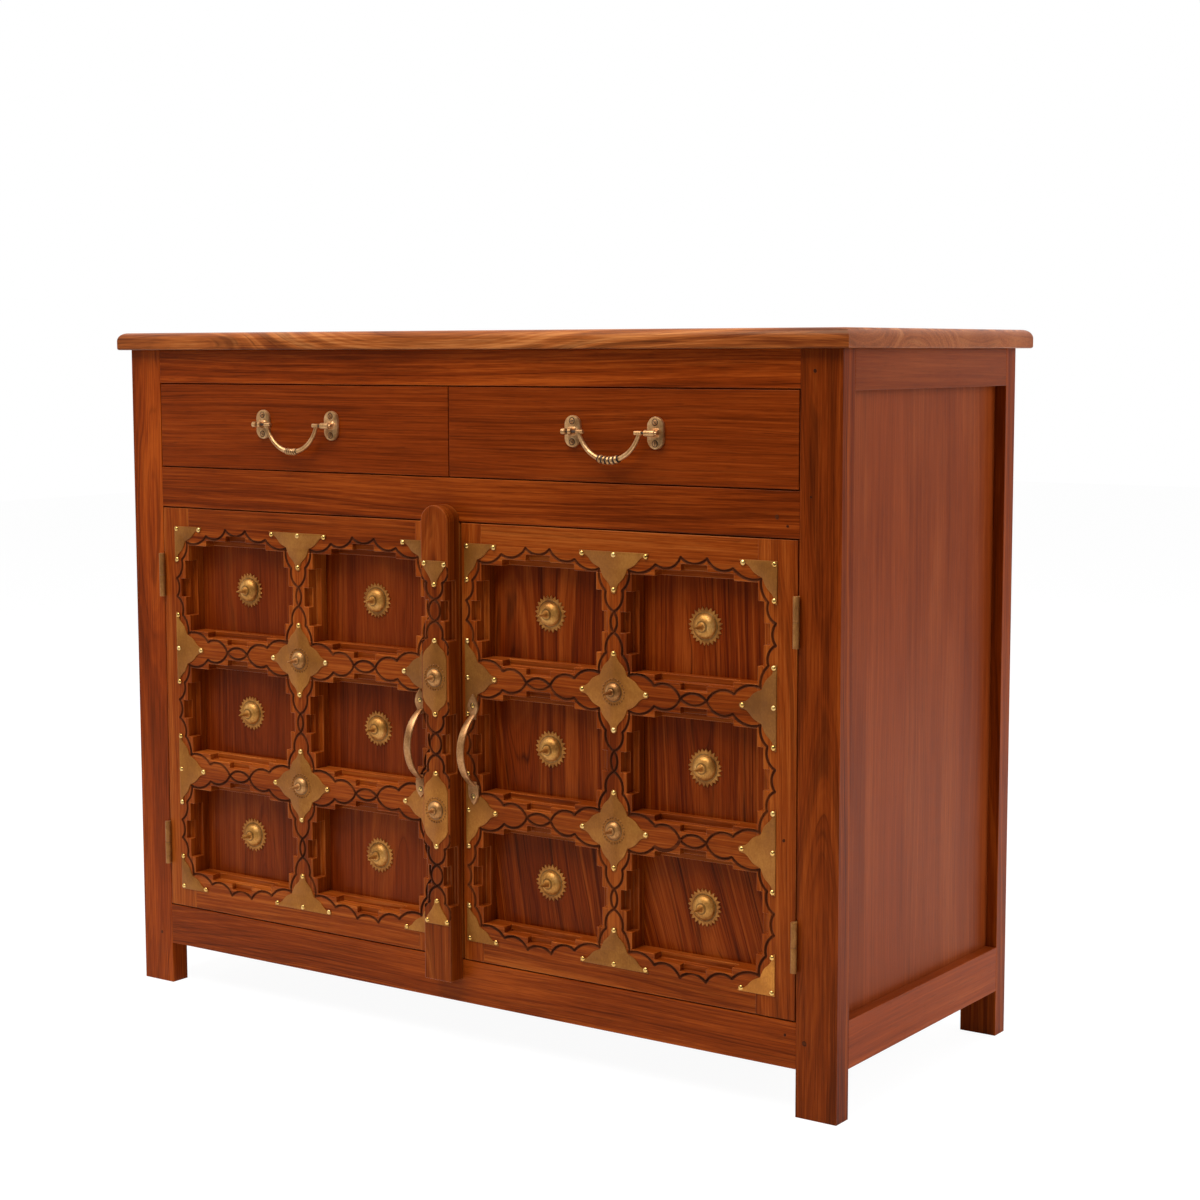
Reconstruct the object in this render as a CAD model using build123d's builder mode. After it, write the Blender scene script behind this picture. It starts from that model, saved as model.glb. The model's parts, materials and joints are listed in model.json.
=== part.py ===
from build123d import *
from math import cos, radians, sin
import os

# Sideboard in solid wood: two drawers over two doors with a carved lattice, and brass fittings.
# Millimetres, +Z up. The front faces -Y and the right-hand side is +X.
# The origin lies on the floor, under the middle of the whole piece.

# ---- sizes: case --------------------------------------------------------------------------------
case_width = 1124.0  # over the posts
case_depth = 451.0  # front of the front posts to the back of the rear posts
case_height = 891.0  # floor to the underside of the top
top_thickness = 23.4
top_overhang_side = 14.0
top_overhang_front = 13.5
top_overhang_back = 21.5
top_edge_radius = 11.0  # rounding of the upper edge
top_edge_ease = 2.5  # rounding of the lower edge

front_post_width = 54.5  # posts are planks, wide face to the front
front_post_depth = 28.0
rear_post_width = 50.0
rear_post_depth = 27.0

front_bottom_rail_low = 57.0
front_bottom_rail_high = 113.0
front_middle_rail_height = 54.5
front_top_rail_height = 45.0
drawer_opening = 115.5  # between the front's middle and top rails

side_bottom_rail_low = 60.0
side_bottom_rail_high = 118.0
side_top_rail_height = 47.0
side_rail_thickness = 32.0
side_panel_recess = 15.0
side_panel_thickness = 10.0

rear_rail_thickness = 22.0
rear_middle_rail_height = 46.5
back_panel_thickness = 6.0
back_panel_inset = 9.0  # back of the case to the back of its panels
groove_depth = 8.0  # how far each framed panel enters its frame

tenon_length = 22.0  # front and rear rails
tenon_thickness = 10.0
tenon_shoulder = 8.0
side_tenon_length = 14.0
rear_tenon_thickness = 5.0
rear_tenon_front = 2.0  # from the rail's front face
glue_gap = 1.0  # a mortise or groove is this much deeper than what it holds

# ---- sizes: inside the case ---------------------------------------------------------------------
board_thickness = 15.0
cleat_size = 20.0
shelf_top = 402.0
shelf_side_gap = 0.5
stop_gap = 0.5  # doors to the shelf, drawer fronts to the divider
runner_thickness = 20.0
runner_ledge = 24.0  # reach of a side runner under its drawer
runner_guide_height = 14.0
divider_thickness = 24.0
centre_runner_width = 72.0

# ---- sizes: doors -------------------------------------------------------------------------------
door_gap = 1.6  # round each leaf, in its opening
meeting_gap = 2.6  # between the two leaves
meeting_x = 17.8  # where they meet, at the right edge of the centre stile
door_thickness = 36.0
door_proud = 0.4  # the leaves stand this far in front of the rails, so the centre stile clears them

lattice_columns = 2
lattice_rows = 3
lattice_end_margin = 24.9  # lattice's top and bottom lines to the leaf's ends
left_hinge_margin = 21.4  # left leaf's hinge edge to its lattice's outer line
right_hinge_margin = 26.4
right_closing_margin = 5.4

bar_half_block = 26.0  # lattice bar, middle to edge, at the blocks beside each crossing
bar_half_notch = 18.0  # at the long notch
bar_half_pocket = 10.0  # at the short pocket in the middle of the long notch
notch_depth = 16.0
pocket_depth = 9.0
scallop_count = 5  # arcs of the scalloped groove along each side of a cell
scallop_corner = 22.0  # lattice line to the first cusp, where the first arc begins
panel_recess = 27.0
panel_thickness = 8.0
panel_lap = 8.0
door_tenon_length = 16.0
door_tenon_thickness = 10.0
door_tenon_front = 14.0  # leaf face to the front of its tenons
door_tenon_shoulder = 9.0

stile_width = 43.0
stile_thickness = 25.0
stile_overhang = 0.2  # past the left leaf's closing edge
stile_above_leaf = 22.6
stile_below_leaf = 26.6
stile_top_radius = 21.0
stile_corner_radius = 10.0
stile_half_notch = 16.0

# ---- sizes: brass on the doors ------------------------------------------------------------------
plate_thickness = 1.2
star_reach = 50.5  # middle of a star plate to the end of a petal
star_waist = 20.0  # along both axes, where two petals meet
star_belly = (30.5, 15.0)  # along the petal, and half its width there
star_neck = (38.0, 7.4)
star_throat = (42.0, 5.2)
star_tip = 4.2  # half the width of a petal's end
stile_plate_width = 40.0
stile_crest_inset = 22.0  # lattice's top and bottom lines to the straight edges of the end plates
stile_crest_length = 33.5
stile_crest_belly = (9.0, 16.5)  # distance from its straight edge, and half its width there
stile_crest_neck = (19.0, 8.5)
stile_crest_throat = (24.5, 5.4)

sun_radius = 22.0
sun_root_radius = 18.6
sun_teeth = 22
sun_thickness = 1.0
stud_radius = 14.5
stud_shoulder = (11.0, 6.3)  # radius and height half way up the dome
stud_neck = (3.6, 9.5)  # where the spike leaves the dome
stud_length = 22.5
small_stud_radius = 10.0
small_stud_shoulder = (7.4, 4.8)
small_stud_neck = (2.9, 7.2)
small_stud_length = 18.5
stud_tip = 0.5
stud_sides = 14

left_pull_inset = 18.5  # lattice's inner line to the pull's middle
right_pull_inset = 13.5
pull_drop = 7.5  # middle of the lattice down to the middle of the pull
pull_chord = 94.0  # between the feet of the bow
pull_reach = 31.0  # leaf face to the outside of the bow
pull_strap_width = 9.5
pull_strap_thickness = 3.6
pull_strap_ease = 0.9
pull_plate_thickness = 2.6
pull_upper_length = 25.0
pull_lower_length = 22.0
pull_lower_shoulder = 9.0
pull_plate_half = 7.2

hinge_height = 60.0
hinge_upper_inset = 93.4  # leaf's end to the hinge's middle
hinge_lower_inset = 88.4
hinge_barrel_radius = 3.9
hinge_barrel_gap = 0.4  # barrel to the leaf's face
hinge_pin_radius = 1.6
hinge_pin_clearance = 0.05
hinge_knuckle_gap = 0.4
hinge_plate_thickness = 1.4
hinge_plate_pocket = 0.8  # let into the post and into the leaf
hinge_plate_depth = 20.0

# ---- sizes: drawers -----------------------------------------------------------------------------
drawer_gap = 1.5
drawer_front_thickness = 20.0
drawer_side_thickness = 12.0
drawer_side_drop = 10.2  # sides' upper edges below the top rail
drawer_side_play = 1.5
drawer_back_gap = 29.0  # closed drawer to the rear rails
drawer_slide_clearance = 0.3
drawer_bottom_thickness = 6.0
drawer_bottom_rise = 10.0
drawer_groove = 6.0
drawer_back_drop = 8.0

bracket_spacing = 120.0
bracket_width = 26.0
bracket_height = 39.0
bracket_thickness = 4.0
bracket_rise = 3.75  # middle of the drawer opening up to the middle of the brackets
lug_width = 11.0
lug_radius = 5.0
bail_pivot_reach = 9.0  # plate to the pin's middle
bail_pin_radius = 2.4
bail_pin_clearance = 0.05
bail_pin_end = 5.0  # how far a pin stands out past its lug and past the arm
bail_arm_spacing = 87.0
bail_drop = 37.0
bail_rod_radius = 3.1
bail_rod_sides = 8

# ---- places that follow from the sizes ----------------------------------------------------------
half_width = case_width / 2
open_x = half_width - front_post_width  # inner face of a front post
rear_open_x = half_width - rear_post_width
rear_post_front = case_depth - rear_post_depth
rear_rail_front = case_depth - rear_rail_thickness
side_rail_inner_x = half_width - side_rail_thickness
panel_outer_x = half_width - side_panel_recess
panel_inner_x = panel_outer_x - side_panel_thickness
side_top_rail_low = case_height - side_top_rail_height
drawer_high = case_height - front_top_rail_height
drawer_low = drawer_high - drawer_opening
front_middle_rail_low = drawer_low - front_middle_rail_height
rear_middle_rail_low = drawer_low - rear_middle_rail_height

door_low = front_bottom_rail_high + door_gap
door_high = front_middle_rail_low - door_gap
door_face = -door_proud
door_back = door_face + door_thickness
left_leaf_x0, left_leaf_x1 = -open_x + door_gap, meeting_x - meeting_gap / 2
right_leaf_x0, right_leaf_x1 = meeting_x + meeting_gap / 2, open_x - door_gap

left_lattice_x = left_leaf_x0 + left_hinge_margin  # left line of each leaf's lattice
right_lattice_x = right_leaf_x0 + right_closing_margin
lattice_width = right_leaf_x1 - right_hinge_margin - right_lattice_x
lattice_bottom = door_low + lattice_end_margin
lattice_top = door_high - lattice_end_margin
lattice_height = lattice_top - lattice_bottom
cell_width = lattice_width / lattice_columns
cell_height = lattice_height / lattice_rows
scallop_x = (cell_width - 2 * scallop_corner) / scallop_count
scallop_z = (cell_height - 2 * scallop_corner) / scallop_count
stile_centre_x = left_leaf_x1 + stile_overhang - stile_width / 2
stile_low, stile_high = door_low - stile_below_leaf, door_high + stile_above_leaf
stile_face = door_face - stile_thickness
panel_face = door_face + panel_recess

left_pull_x = left_lattice_x + lattice_width - left_pull_inset
right_pull_x = right_lattice_x + right_pull_inset
pull_middle_z = (lattice_bottom + lattice_top) / 2 - pull_drop
hinge_x = open_x - door_gap / 2
hinge_y = door_face - hinge_barrel_gap - hinge_barrel_radius
hinge_lower_z, hinge_upper_z = door_low + hinge_lower_inset, door_high - hinge_upper_inset
bracket_z = (drawer_low + drawer_high) / 2 + bracket_rise
pivot_y = -bracket_thickness - bail_pivot_reach

# The studs on the centre stile reach furthest forward, and the top furthest back.
front_reach = -stile_face + plate_thickness + small_stud_length
rear_reach = case_depth + top_overhang_back
face_y = (front_reach - rear_reach) / 2  # world y of the posts' front faces

SIDES = ((-1, "left"), (1, "right"))
FRONT_RAILS = (
    ("front_bottom_rail", front_bottom_rail_low, front_bottom_rail_high),
    ("front_middle_rail", front_middle_rail_low, drawer_low),
    ("front_top_rail", drawer_high, case_height),
)
SIDE_RAILS = (
    ("bottom", side_bottom_rail_low, side_bottom_rail_high),
    ("top", side_top_rail_low, case_height),
)
REAR_RAILS = (
    (side_bottom_rail_low, side_bottom_rail_high),
    (rear_middle_rail_low, drawer_low),
    (side_top_rail_low, case_height),
)
HINGE_HEIGHTS = (hinge_lower_z, hinge_upper_z)
LEAVES = (
    (-1, "left", left_lattice_x, left_leaf_x0, left_leaf_x1, left_pull_x),
    (1, "right", right_lattice_x, right_leaf_x0, right_leaf_x1, right_pull_x),
)

os.makedirs("parts", exist_ok=True)


# ---- shared shapes ------------------------------------------------------------------------------
def block(x0, x1, y0, y1, z0, z1, mode=Mode.ADD):
    """A board between three pairs of planes; y counts back from the posts' front faces."""
    with Locations(((x0 + x1) / 2, face_y + (y0 + y1) / 2, (z0 + z1) / 2)):
        Box(abs(x1 - x0), abs(y1 - y0), abs(z1 - z0), mode=mode)


def upright(y):
    """An upright plane that faces the front: its local x is x, and its local y is height."""
    return Plane(origin=(0, face_y + y, 0), x_dir=(1, 0, 0), z_dir=(0, -1, 0))


def front_tenon(side, z0, z1, grow=0.0, mode=Mode.ADD):
    """A front rail's tenon at one post or, longer by grow, its mortise."""
    y0 = (front_post_depth - tenon_thickness) / 2
    x1 = side * (open_x + tenon_length + grow)
    block(side * open_x, x1, y0, y0 + tenon_thickness, z0 + tenon_shoulder, z1 - tenon_shoulder, mode)


def rear_tenon(side, z0, z1, grow=0.0, mode=Mode.ADD):
    """A rear rail's tenon or mortise, in front of the groove for the back panels."""
    y0 = rear_rail_front + rear_tenon_front
    y1 = y0 + rear_tenon_thickness
    x1 = side * (rear_open_x + tenon_length + grow)
    block(side * rear_open_x, x1, y0, y1, z0 + tenon_shoulder, z1 - tenon_shoulder, mode)


def side_tenons(side, z0, z1, grow=0.0, mode=Mode.ADD):
    """The tenons of a side rail at both its posts, or their mortises."""
    x_mid = side * (half_width - side_rail_thickness / 2)
    x0, x1 = x_mid - tenon_thickness / 2, x_mid + tenon_thickness / 2
    reach = side_tenon_length + grow
    low, high = z0 + tenon_shoulder, z1 - tenon_shoulder
    block(x0, x1, front_post_depth - reach, front_post_depth, low, high, mode)
    block(x0, x1, rear_post_front, rear_post_front + reach, low, high, mode)


def side_panel_board(side, gap=0.0, mode=Mode.ADD):
    """A side panel out to the bottom of its grooves, or with gap the grooves themselves."""
    reach = groove_depth + gap
    y0, y1 = front_post_depth - reach, rear_post_front + reach
    z0, z1 = side_bottom_rail_high - reach, side_top_rail_low + reach
    block(side * panel_inner_x, side * panel_outer_x, y0, y1, z0, z1, mode)


def back_panel_boards(gap=0.0, mode=Mode.ADD):
    """The back panels below and above the rear middle rail, or with gap their grooves."""
    y1 = case_depth - back_panel_inset
    reach = groove_depth + gap
    x1 = rear_open_x + reach
    for z0, z1 in (
        (side_bottom_rail_high, rear_middle_rail_low),
        (drawer_low, side_top_rail_low),
    ):
        block(-x1, x1, y1 - back_panel_thickness, y1, z0 - reach, z1 + reach, mode)


# ---- case: posts --------------------------------------------------------------------------------
for side, hand in SIDES:
    with BuildPart() as front_post:
        block(side * open_x, side * half_width, 0, front_post_depth, 0, case_height)
        for rail_name, z0, z1 in FRONT_RAILS:
            front_tenon(side, z0, z1, glue_gap, Mode.SUBTRACT)
        for level, z0, z1 in SIDE_RAILS:
            side_tenons(side, z0, z1, glue_gap, Mode.SUBTRACT)
        side_panel_board(side, glue_gap, Mode.SUBTRACT)
        for z in HINGE_HEIGHTS:
            x1 = side * (open_x + hinge_plate_pocket)
            z0, z1 = z - hinge_height / 2, z + hinge_height / 2
            block(side * open_x, x1, 0, hinge_plate_depth, z0, z1, Mode.SUBTRACT)
    front_post.part.label = f"front_{hand}_post"
    export_step(front_post.part, f"parts/front_{hand}_post.step")

    with BuildPart() as rear_post:
        block(side * rear_open_x, side * half_width, rear_post_front, case_depth, 0, case_height)
        for z0, z1 in REAR_RAILS:
            rear_tenon(side, z0, z1, glue_gap, Mode.SUBTRACT)
        for level, z0, z1 in SIDE_RAILS:
            side_tenons(side, z0, z1, glue_gap, Mode.SUBTRACT)
        side_panel_board(side, glue_gap, Mode.SUBTRACT)
        back_panel_boards(glue_gap, Mode.SUBTRACT)
    rear_post.part.label = f"rear_{hand}_post"
    export_step(rear_post.part, f"parts/rear_{hand}_post.step")

# ---- case: rails and panels ---------------------------------------------------------------------
for rail_name, z0, z1 in FRONT_RAILS:
    with BuildPart() as front_rail:
        block(-open_x, open_x, 0, front_post_depth, z0, z1)
        for side, hand in SIDES:
            front_tenon(side, z0, z1)
    front_rail.part.label = rail_name
    export_step(front_rail.part, f"parts/{rail_name}.step")

for side, hand in SIDES:
    for level, z0, z1 in SIDE_RAILS:
        with BuildPart() as side_rail:
            x0 = side * side_rail_inner_x
            block(x0, side * half_width, front_post_depth, rear_post_front, z0, z1)
            side_tenons(side, z0, z1)
            side_panel_board(side, glue_gap, Mode.SUBTRACT)
        side_rail.part.label = f"{hand}_side_{level}_rail"
        export_step(side_rail.part, f"parts/{hand}_side_{level}_rail.step")

    with BuildPart() as side_panel:
        side_panel_board(side)
    side_panel.part.label = f"{hand}_side_panel"
    export_step(side_panel.part, f"parts/{hand}_side_panel.step")

with BuildPart() as rear_rails:
    for z0, z1 in REAR_RAILS:
        block(-rear_open_x, rear_open_x, rear_rail_front, case_depth, z0, z1)
        for side, hand in SIDES:
            rear_tenon(side, z0, z1)
    back_panel_boards(glue_gap, Mode.SUBTRACT)
rear_rails.part.label = "rear_rails"
export_step(rear_rails.part, "parts/rear_rails.step")

with BuildPart() as back_panels:
    back_panel_boards()
back_panels.part.label = "back_panels"
export_step(back_panels.part, "parts/back_panels.step")

# ---- case: top ----------------------------------------------------------------------------------
with BuildPart() as top_board:
    x1 = half_width + top_overhang_side
    y1 = case_depth + top_overhang_back
    block(-x1, x1, -top_overhang_front, y1, case_height, case_height + top_thickness)
    fillet(top_board.faces().sort_by(Axis.Z)[-1].edges(), top_edge_radius)
    fillet(top_board.faces().sort_by(Axis.Z)[0].edges(), top_edge_ease)
top_board.part.label = "top_board"
export_step(top_board.part, "parts/top_board.step")

# ---- case: bottom, shelf and drawer runners -----------------------------------------------------
with BuildPart() as bottom_board:
    x1, z1 = side_rail_inner_x, front_bottom_rail_high
    block(-x1, x1, front_post_depth, rear_rail_front, z1 - board_thickness, z1)
    for side, hand in SIDES:
        block(side * rear_open_x, side * half_width, rear_post_front, case_depth, 0, z1, Mode.SUBTRACT)
bottom_board.part.label = "bottom_board"
export_step(bottom_board.part, "parts/bottom_board.step")

with BuildPart() as bottom_cleats:
    z1 = front_bottom_rail_high - board_thickness
    for y0 in (front_post_depth, rear_rail_front - cleat_size):
        block(-open_x, open_x, y0, y0 + cleat_size, z1 - cleat_size, z1)
bottom_cleats.part.label = "bottom_cleats"
export_step(bottom_cleats.part, "parts/bottom_cleats.step")

with BuildPart() as shelf:
    x1 = panel_inner_x - shelf_side_gap
    block(-x1, x1, door_back + stop_gap, rear_post_front, shelf_top - board_thickness, shelf_top)
shelf.part.label = "shelf"
export_step(shelf.part, "parts/shelf.step")

with BuildPart() as shelf_cleats:
    z1 = shelf_top - board_thickness
    for side, hand in SIDES:
        x0 = side * (panel_inner_x - cleat_size)
        block(x0, side * panel_inner_x, front_post_depth, rear_post_front, z1 - cleat_size, z1)
shelf_cleats.part.label = "shelf_cleats"
export_step(shelf_cleats.part, "parts/shelf_cleats.step")

centre_half = centre_runner_width / 2
with BuildPart() as drawer_runners:
    z0 = drawer_low - runner_thickness
    for side, hand in SIDES:
        x0, x1 = side * (open_x - runner_ledge), side * panel_inner_x
        block(x0, x1, front_post_depth, rear_post_front, z0, drawer_low)
    block(-centre_half, centre_half, front_post_depth, rear_rail_front, z0, drawer_low)
drawer_runners.part.label = "drawer_runners"
export_step(drawer_runners.part, "parts/drawer_runners.step")

with BuildPart() as drawer_guides:
    z1 = drawer_low + runner_guide_height
    for side, hand in SIDES:
        x0, x1 = side * open_x, side * panel_inner_x
        block(x0, x1, front_post_depth, rear_post_front, drawer_low, z1)
drawer_guides.part.label = "drawer_guides"
export_step(drawer_guides.part, "parts/drawer_guides.step")

with BuildPart() as drawer_kickers:
    z1 = drawer_high + runner_thickness
    for side, hand in SIDES:
        x0, x1 = side * (open_x - runner_ledge), side * side_rail_inner_x
        block(x0, x1, front_post_depth, rear_post_front, drawer_high, z1)
    block(-centre_half, centre_half, front_post_depth, rear_rail_front, drawer_high, z1)
drawer_kickers.part.label = "drawer_kickers"
export_step(drawer_kickers.part, "parts/drawer_kickers.step")

with BuildPart() as drawer_divider:
    half = divider_thickness / 2
    block(-half, half, drawer_front_thickness + stop_gap, rear_rail_front, drawer_low, drawer_high)
drawer_divider.part.label = "drawer_divider"
export_step(drawer_divider.part, "parts/drawer_divider.step")


# ---- hinges -------------------------------------------------------------------------------------
def hinge_round(side, radius, z0, z1, mode=Mode.ADD):
    """A round piece on one side's hinge line, such as a knuckle, its bore or the pin."""
    with Locations((side * hinge_x, face_y + hinge_y, (z0 + z1) / 2)):
        Cylinder(radius, z1 - z0, mode=mode)


def hinge_plate(side, x0, x1, z, knuckles):
    """One leaf of a butt hinge: its plate in the joint, and the knuckles that it carries."""
    low = z - hinge_height / 2
    block(side * x0, side * x1, 0, hinge_plate_depth, low, low + hinge_height)
    for z0, z1 in knuckles:
        hinge_round(side, hinge_barrel_radius, low + z0, low + z1)
        block(side * x0, side * x1, hinge_y, 0, low + z0, low + z1)
        bore = hinge_pin_radius + hinge_pin_clearance
        hinge_round(side, bore, low + z0, low + z1, Mode.SUBTRACT)


case_knuckles = ((0, (hinge_height - hinge_knuckle_gap) / 2),)
door_knuckles = (((hinge_height + hinge_knuckle_gap) / 2, hinge_height),)

with BuildPart() as hinge_case_leaves:
    x1 = open_x + hinge_plate_pocket
    for side, hand in SIDES:
        for z in HINGE_HEIGHTS:
            hinge_plate(side, x1 - hinge_plate_thickness, x1, z, case_knuckles)
hinge_case_leaves.part.label = "hinge_case_leaves"
export_step(hinge_case_leaves.part, "parts/hinge_case_leaves.step")

with BuildPart() as hinge_pins:
    for side, hand in SIDES:
        for z in HINGE_HEIGHTS:
            hinge_round(side, hinge_pin_radius, z - hinge_height / 2, z + hinge_height / 2)
hinge_pins.part.label = "hinge_pins"
export_step(hinge_pins.part, "parts/hinge_pins.step")


# ---- doors: the carved lattice ------------------------------------------------------------------
def cell_middles(lattice_x):
    """Middles of a leaf's cells, in the upright plane."""
    return [
        (lattice_x + (column + 0.5) * cell_width, lattice_bottom + (row + 0.5) * cell_height)
        for column in range(lattice_columns)
        for row in range(lattice_rows)
    ]


def crossings(lattice_x, edge=0):
    """Crossings of a leaf's lattice lines; with an edge of 1, only those inside the lattice."""
    return [
        (lattice_x + column * cell_width, lattice_bottom + row * cell_height)
        for column in range(edge, lattice_columns + 1 - edge)
        for row in range(edge, lattice_rows + 1 - edge)
    ]


def carve_cells(lattice_x):
    """Cuts the cells out of a frame piece, with the stepped notches in the sides of each."""
    for half_bar, cusp, depth in (
        (bar_half_notch, 1, notch_depth),
        (bar_half_pocket, 2, pocket_depth),
    ):
        with BuildSketch(upright(door_face)) as notches:
            with Locations(cell_middles(lattice_x)):
                Rectangle((scallop_count - 2 * cusp) * scallop_x, cell_height - 2 * half_bar)
                Rectangle(cell_width - 2 * half_bar, (scallop_count - 2 * cusp) * scallop_z)
        extrude(notches.sketch, amount=-depth, mode=Mode.SUBTRACT)
    with BuildSketch(upright(door_face)) as openings:
        with Locations(cell_middles(lattice_x)):
            Rectangle(cell_width - 2 * bar_half_block, cell_height - 2 * bar_half_block)
    extrude(openings.sketch, amount=-door_thickness, mode=Mode.SUBTRACT)
    with BuildSketch(upright(door_back)) as rebates:
        with Locations(cell_middles(lattice_x)):
            lap = 2 * (panel_lap - bar_half_block)
            Rectangle(cell_width + lap, cell_height + lap)
    extrude(rebates.sketch, amount=door_thickness - panel_recess, mode=Mode.SUBTRACT)


def leaf_tenon(x0, x1, z0, z1, mode=Mode.ADD):
    """A tenon between two pieces of a leaf's frame, or its mortise."""
    y0 = door_face + door_tenon_front
    block(x0, x1, y0, y0 + door_tenon_thickness, z0, z1, mode)


def rail_bands():
    """Low and high edges of a leaf's rails: the outer two, and the lattice bars between them."""
    bands = [(door_low, lattice_bottom + bar_half_block)]
    for row in range(1, lattice_rows):
        z = lattice_bottom + row * cell_height
        bands.append((z - bar_half_block, z + bar_half_block))
    bands.append((lattice_top - bar_half_block, door_high))
    return bands


def muntin_bands(lattice_x):
    """Middle, low end and high end of each upright between a leaf's rails."""
    return [
        (
            lattice_x + column * cell_width,
            lattice_bottom + row * cell_height + bar_half_block,
            lattice_bottom + (row + 1) * cell_height - bar_half_block,
        )
        for column in range(1, lattice_columns)
        for row in range(lattice_rows)
    ]


def rail_tenons(x_left, x_right, grow=0.0, mode=Mode.ADD):
    """Tenons of all rails of a leaf into its two stiles, or their mortises."""
    reach = door_tenon_length + grow
    for z0, z1 in rail_bands():
        low, high = z0 + door_tenon_shoulder, z1 - door_tenon_shoulder
        leaf_tenon(x_left - reach, x_left, low, high, mode)
        leaf_tenon(x_right, x_right + reach, low, high, mode)


def muntin_tenons(lattice_x, grow=0.0, mode=Mode.ADD):
    """Tenons of the uprights between the rails, or their mortises."""
    half = bar_half_block - door_tenon_shoulder
    reach = door_tenon_length + grow
    for x, low, high in muntin_bands(lattice_x):
        leaf_tenon(x - half, x + half, low - reach, low, mode)
        leaf_tenon(x - half, x + half, high, high + reach, mode)


for side, hand, lattice_x, leaf_x0, leaf_x1, pull_x in LEAVES:
    inner_x0 = lattice_x + bar_half_block  # inner edges of the two stiles
    inner_x1 = lattice_x + lattice_width - bar_half_block
    left_stile, right_stile = ("hinge", "closing") if side < 0 else ("closing", "hinge")
    for stile_kind, x0, x1 in ((left_stile, leaf_x0, inner_x0), (right_stile, inner_x1, leaf_x1)):
        with BuildPart() as leaf_stile:
            block(x0, x1, door_face, door_back, door_low, door_high)
            carve_cells(lattice_x)
            rail_tenons(inner_x0, inner_x1, glue_gap, Mode.SUBTRACT)
            for z in HINGE_HEIGHTS:
                edge_x = side * (open_x - door_gap)
                bed_x = edge_x - side * hinge_plate_pocket
                z0, z1 = z - hinge_height / 2, z + hinge_height / 2
                block(bed_x, edge_x, door_face, hinge_plate_depth, z0, z1, Mode.SUBTRACT)
        leaf_stile.part.label = f"{hand}_door_{stile_kind}_stile"
        export_step(leaf_stile.part, f"parts/{hand}_door_{stile_kind}_stile.step")

    with BuildPart() as leaf_rails:
        for z0, z1 in rail_bands():
            block(inner_x0, inner_x1, door_face, door_back, z0, z1)
        carve_cells(lattice_x)
        muntin_tenons(lattice_x, glue_gap, Mode.SUBTRACT)
        rail_tenons(inner_x0, inner_x1)
    leaf_rails.part.label = f"{hand}_door_rails"
    export_step(leaf_rails.part, f"parts/{hand}_door_rails.step")

    with BuildPart() as leaf_muntins:
        for x, z0, z1 in muntin_bands(lattice_x):
            block(x - bar_half_block, x + bar_half_block, door_face, door_back, z0, z1)
        carve_cells(lattice_x)
        muntin_tenons(lattice_x)
    leaf_muntins.part.label = f"{hand}_door_muntins"
    export_step(leaf_muntins.part, f"parts/{hand}_door_muntins.step")

    with BuildPart() as leaf_panels:
        with BuildSketch(upright(panel_face)):
            with Locations(cell_middles(lattice_x)):
                lap = 2 * (panel_lap - bar_half_block)
                Rectangle(cell_width + lap, cell_height + lap)
        extrude(amount=-panel_thickness)
    leaf_panels.part.label = f"{hand}_door_panels"
    export_step(leaf_panels.part, f"parts/{hand}_door_panels.step")

    with BuildPart() as leaf_hinges:
        x0 = open_x - door_gap - hinge_plate_pocket
        for z in HINGE_HEIGHTS:
            hinge_plate(side, x0, x0 + hinge_plate_thickness, z, door_knuckles)
    leaf_hinges.part.label = f"{hand}_door_hinge_leaves"
    export_step(leaf_hinges.part, f"parts/{hand}_door_hinge_leaves.step")

# ---- doors: centre stile ------------------------------------------------------------------------
stile_stars = [(stile_centre_x, lattice_bottom + row * cell_height) for row in range(1, lattice_rows)]
stile_notch_z = [lattice_bottom + (row + 0.5) * cell_height for row in range(lattice_rows)]

with BuildPart() as centre_stile:
    with BuildSketch(upright(door_face)) as stile_outline:
        with Locations((stile_centre_x, (stile_low + stile_high) / 2)):
            Rectangle(stile_width, stile_high - stile_low)
        corners = stile_outline.vertices().group_by(Axis.Y)
        fillet(corners[-1], stile_top_radius)
        fillet(corners[0], stile_corner_radius)
    extrude(amount=stile_thickness)
    for half_bar, cusp, depth in (
        (stile_half_notch, 1, notch_depth),
        (bar_half_pocket, 2, pocket_depth),
    ):
        notch_width = stile_width / 2 - half_bar
        with BuildSketch(upright(stile_face)):
            for side, hand in SIDES:
                x = stile_centre_x + side * (half_bar + notch_width / 2)
                with Locations([(x, z) for z in stile_notch_z]):
                    Rectangle(notch_width, (scallop_count - 2 * cusp) * scallop_z)
        extrude(amount=-depth, mode=Mode.SUBTRACT)
centre_stile.part.label = "centre_stile"
export_step(centre_stile.part, "parts/centre_stile.step")


# ---- doors: brass plates ------------------------------------------------------------------------
def petal_edge(root, belly, neck, throat, reach):
    """One edge of a petal along local x: a full belly, a hollow throat, and half its blunt end."""
    return [root, belly, neck, throat, (reach - star_tip, star_tip), (reach, star_tip / 2)]


def both_edges(edge):
    """An edge and its mirror image across local x, as one outline."""
    return edge + [(x, -half) for x, half in reversed(edge)]


star_edge = petal_edge((star_waist, star_waist), star_belly, star_neck, star_throat, star_reach)
crest_root = (0, stile_plate_width / 2)
crest_edge = petal_edge(
    crest_root, stile_crest_belly, stile_crest_neck, stile_crest_throat, stile_crest_length
)
with BuildSketch() as star:
    with PolarLocations(0, 4):
        Polygon((0, 0), *both_edges(star_edge), align=None)

with BuildSketch() as crest:
    Polygon(*both_edges(crest_edge), align=None)

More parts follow.
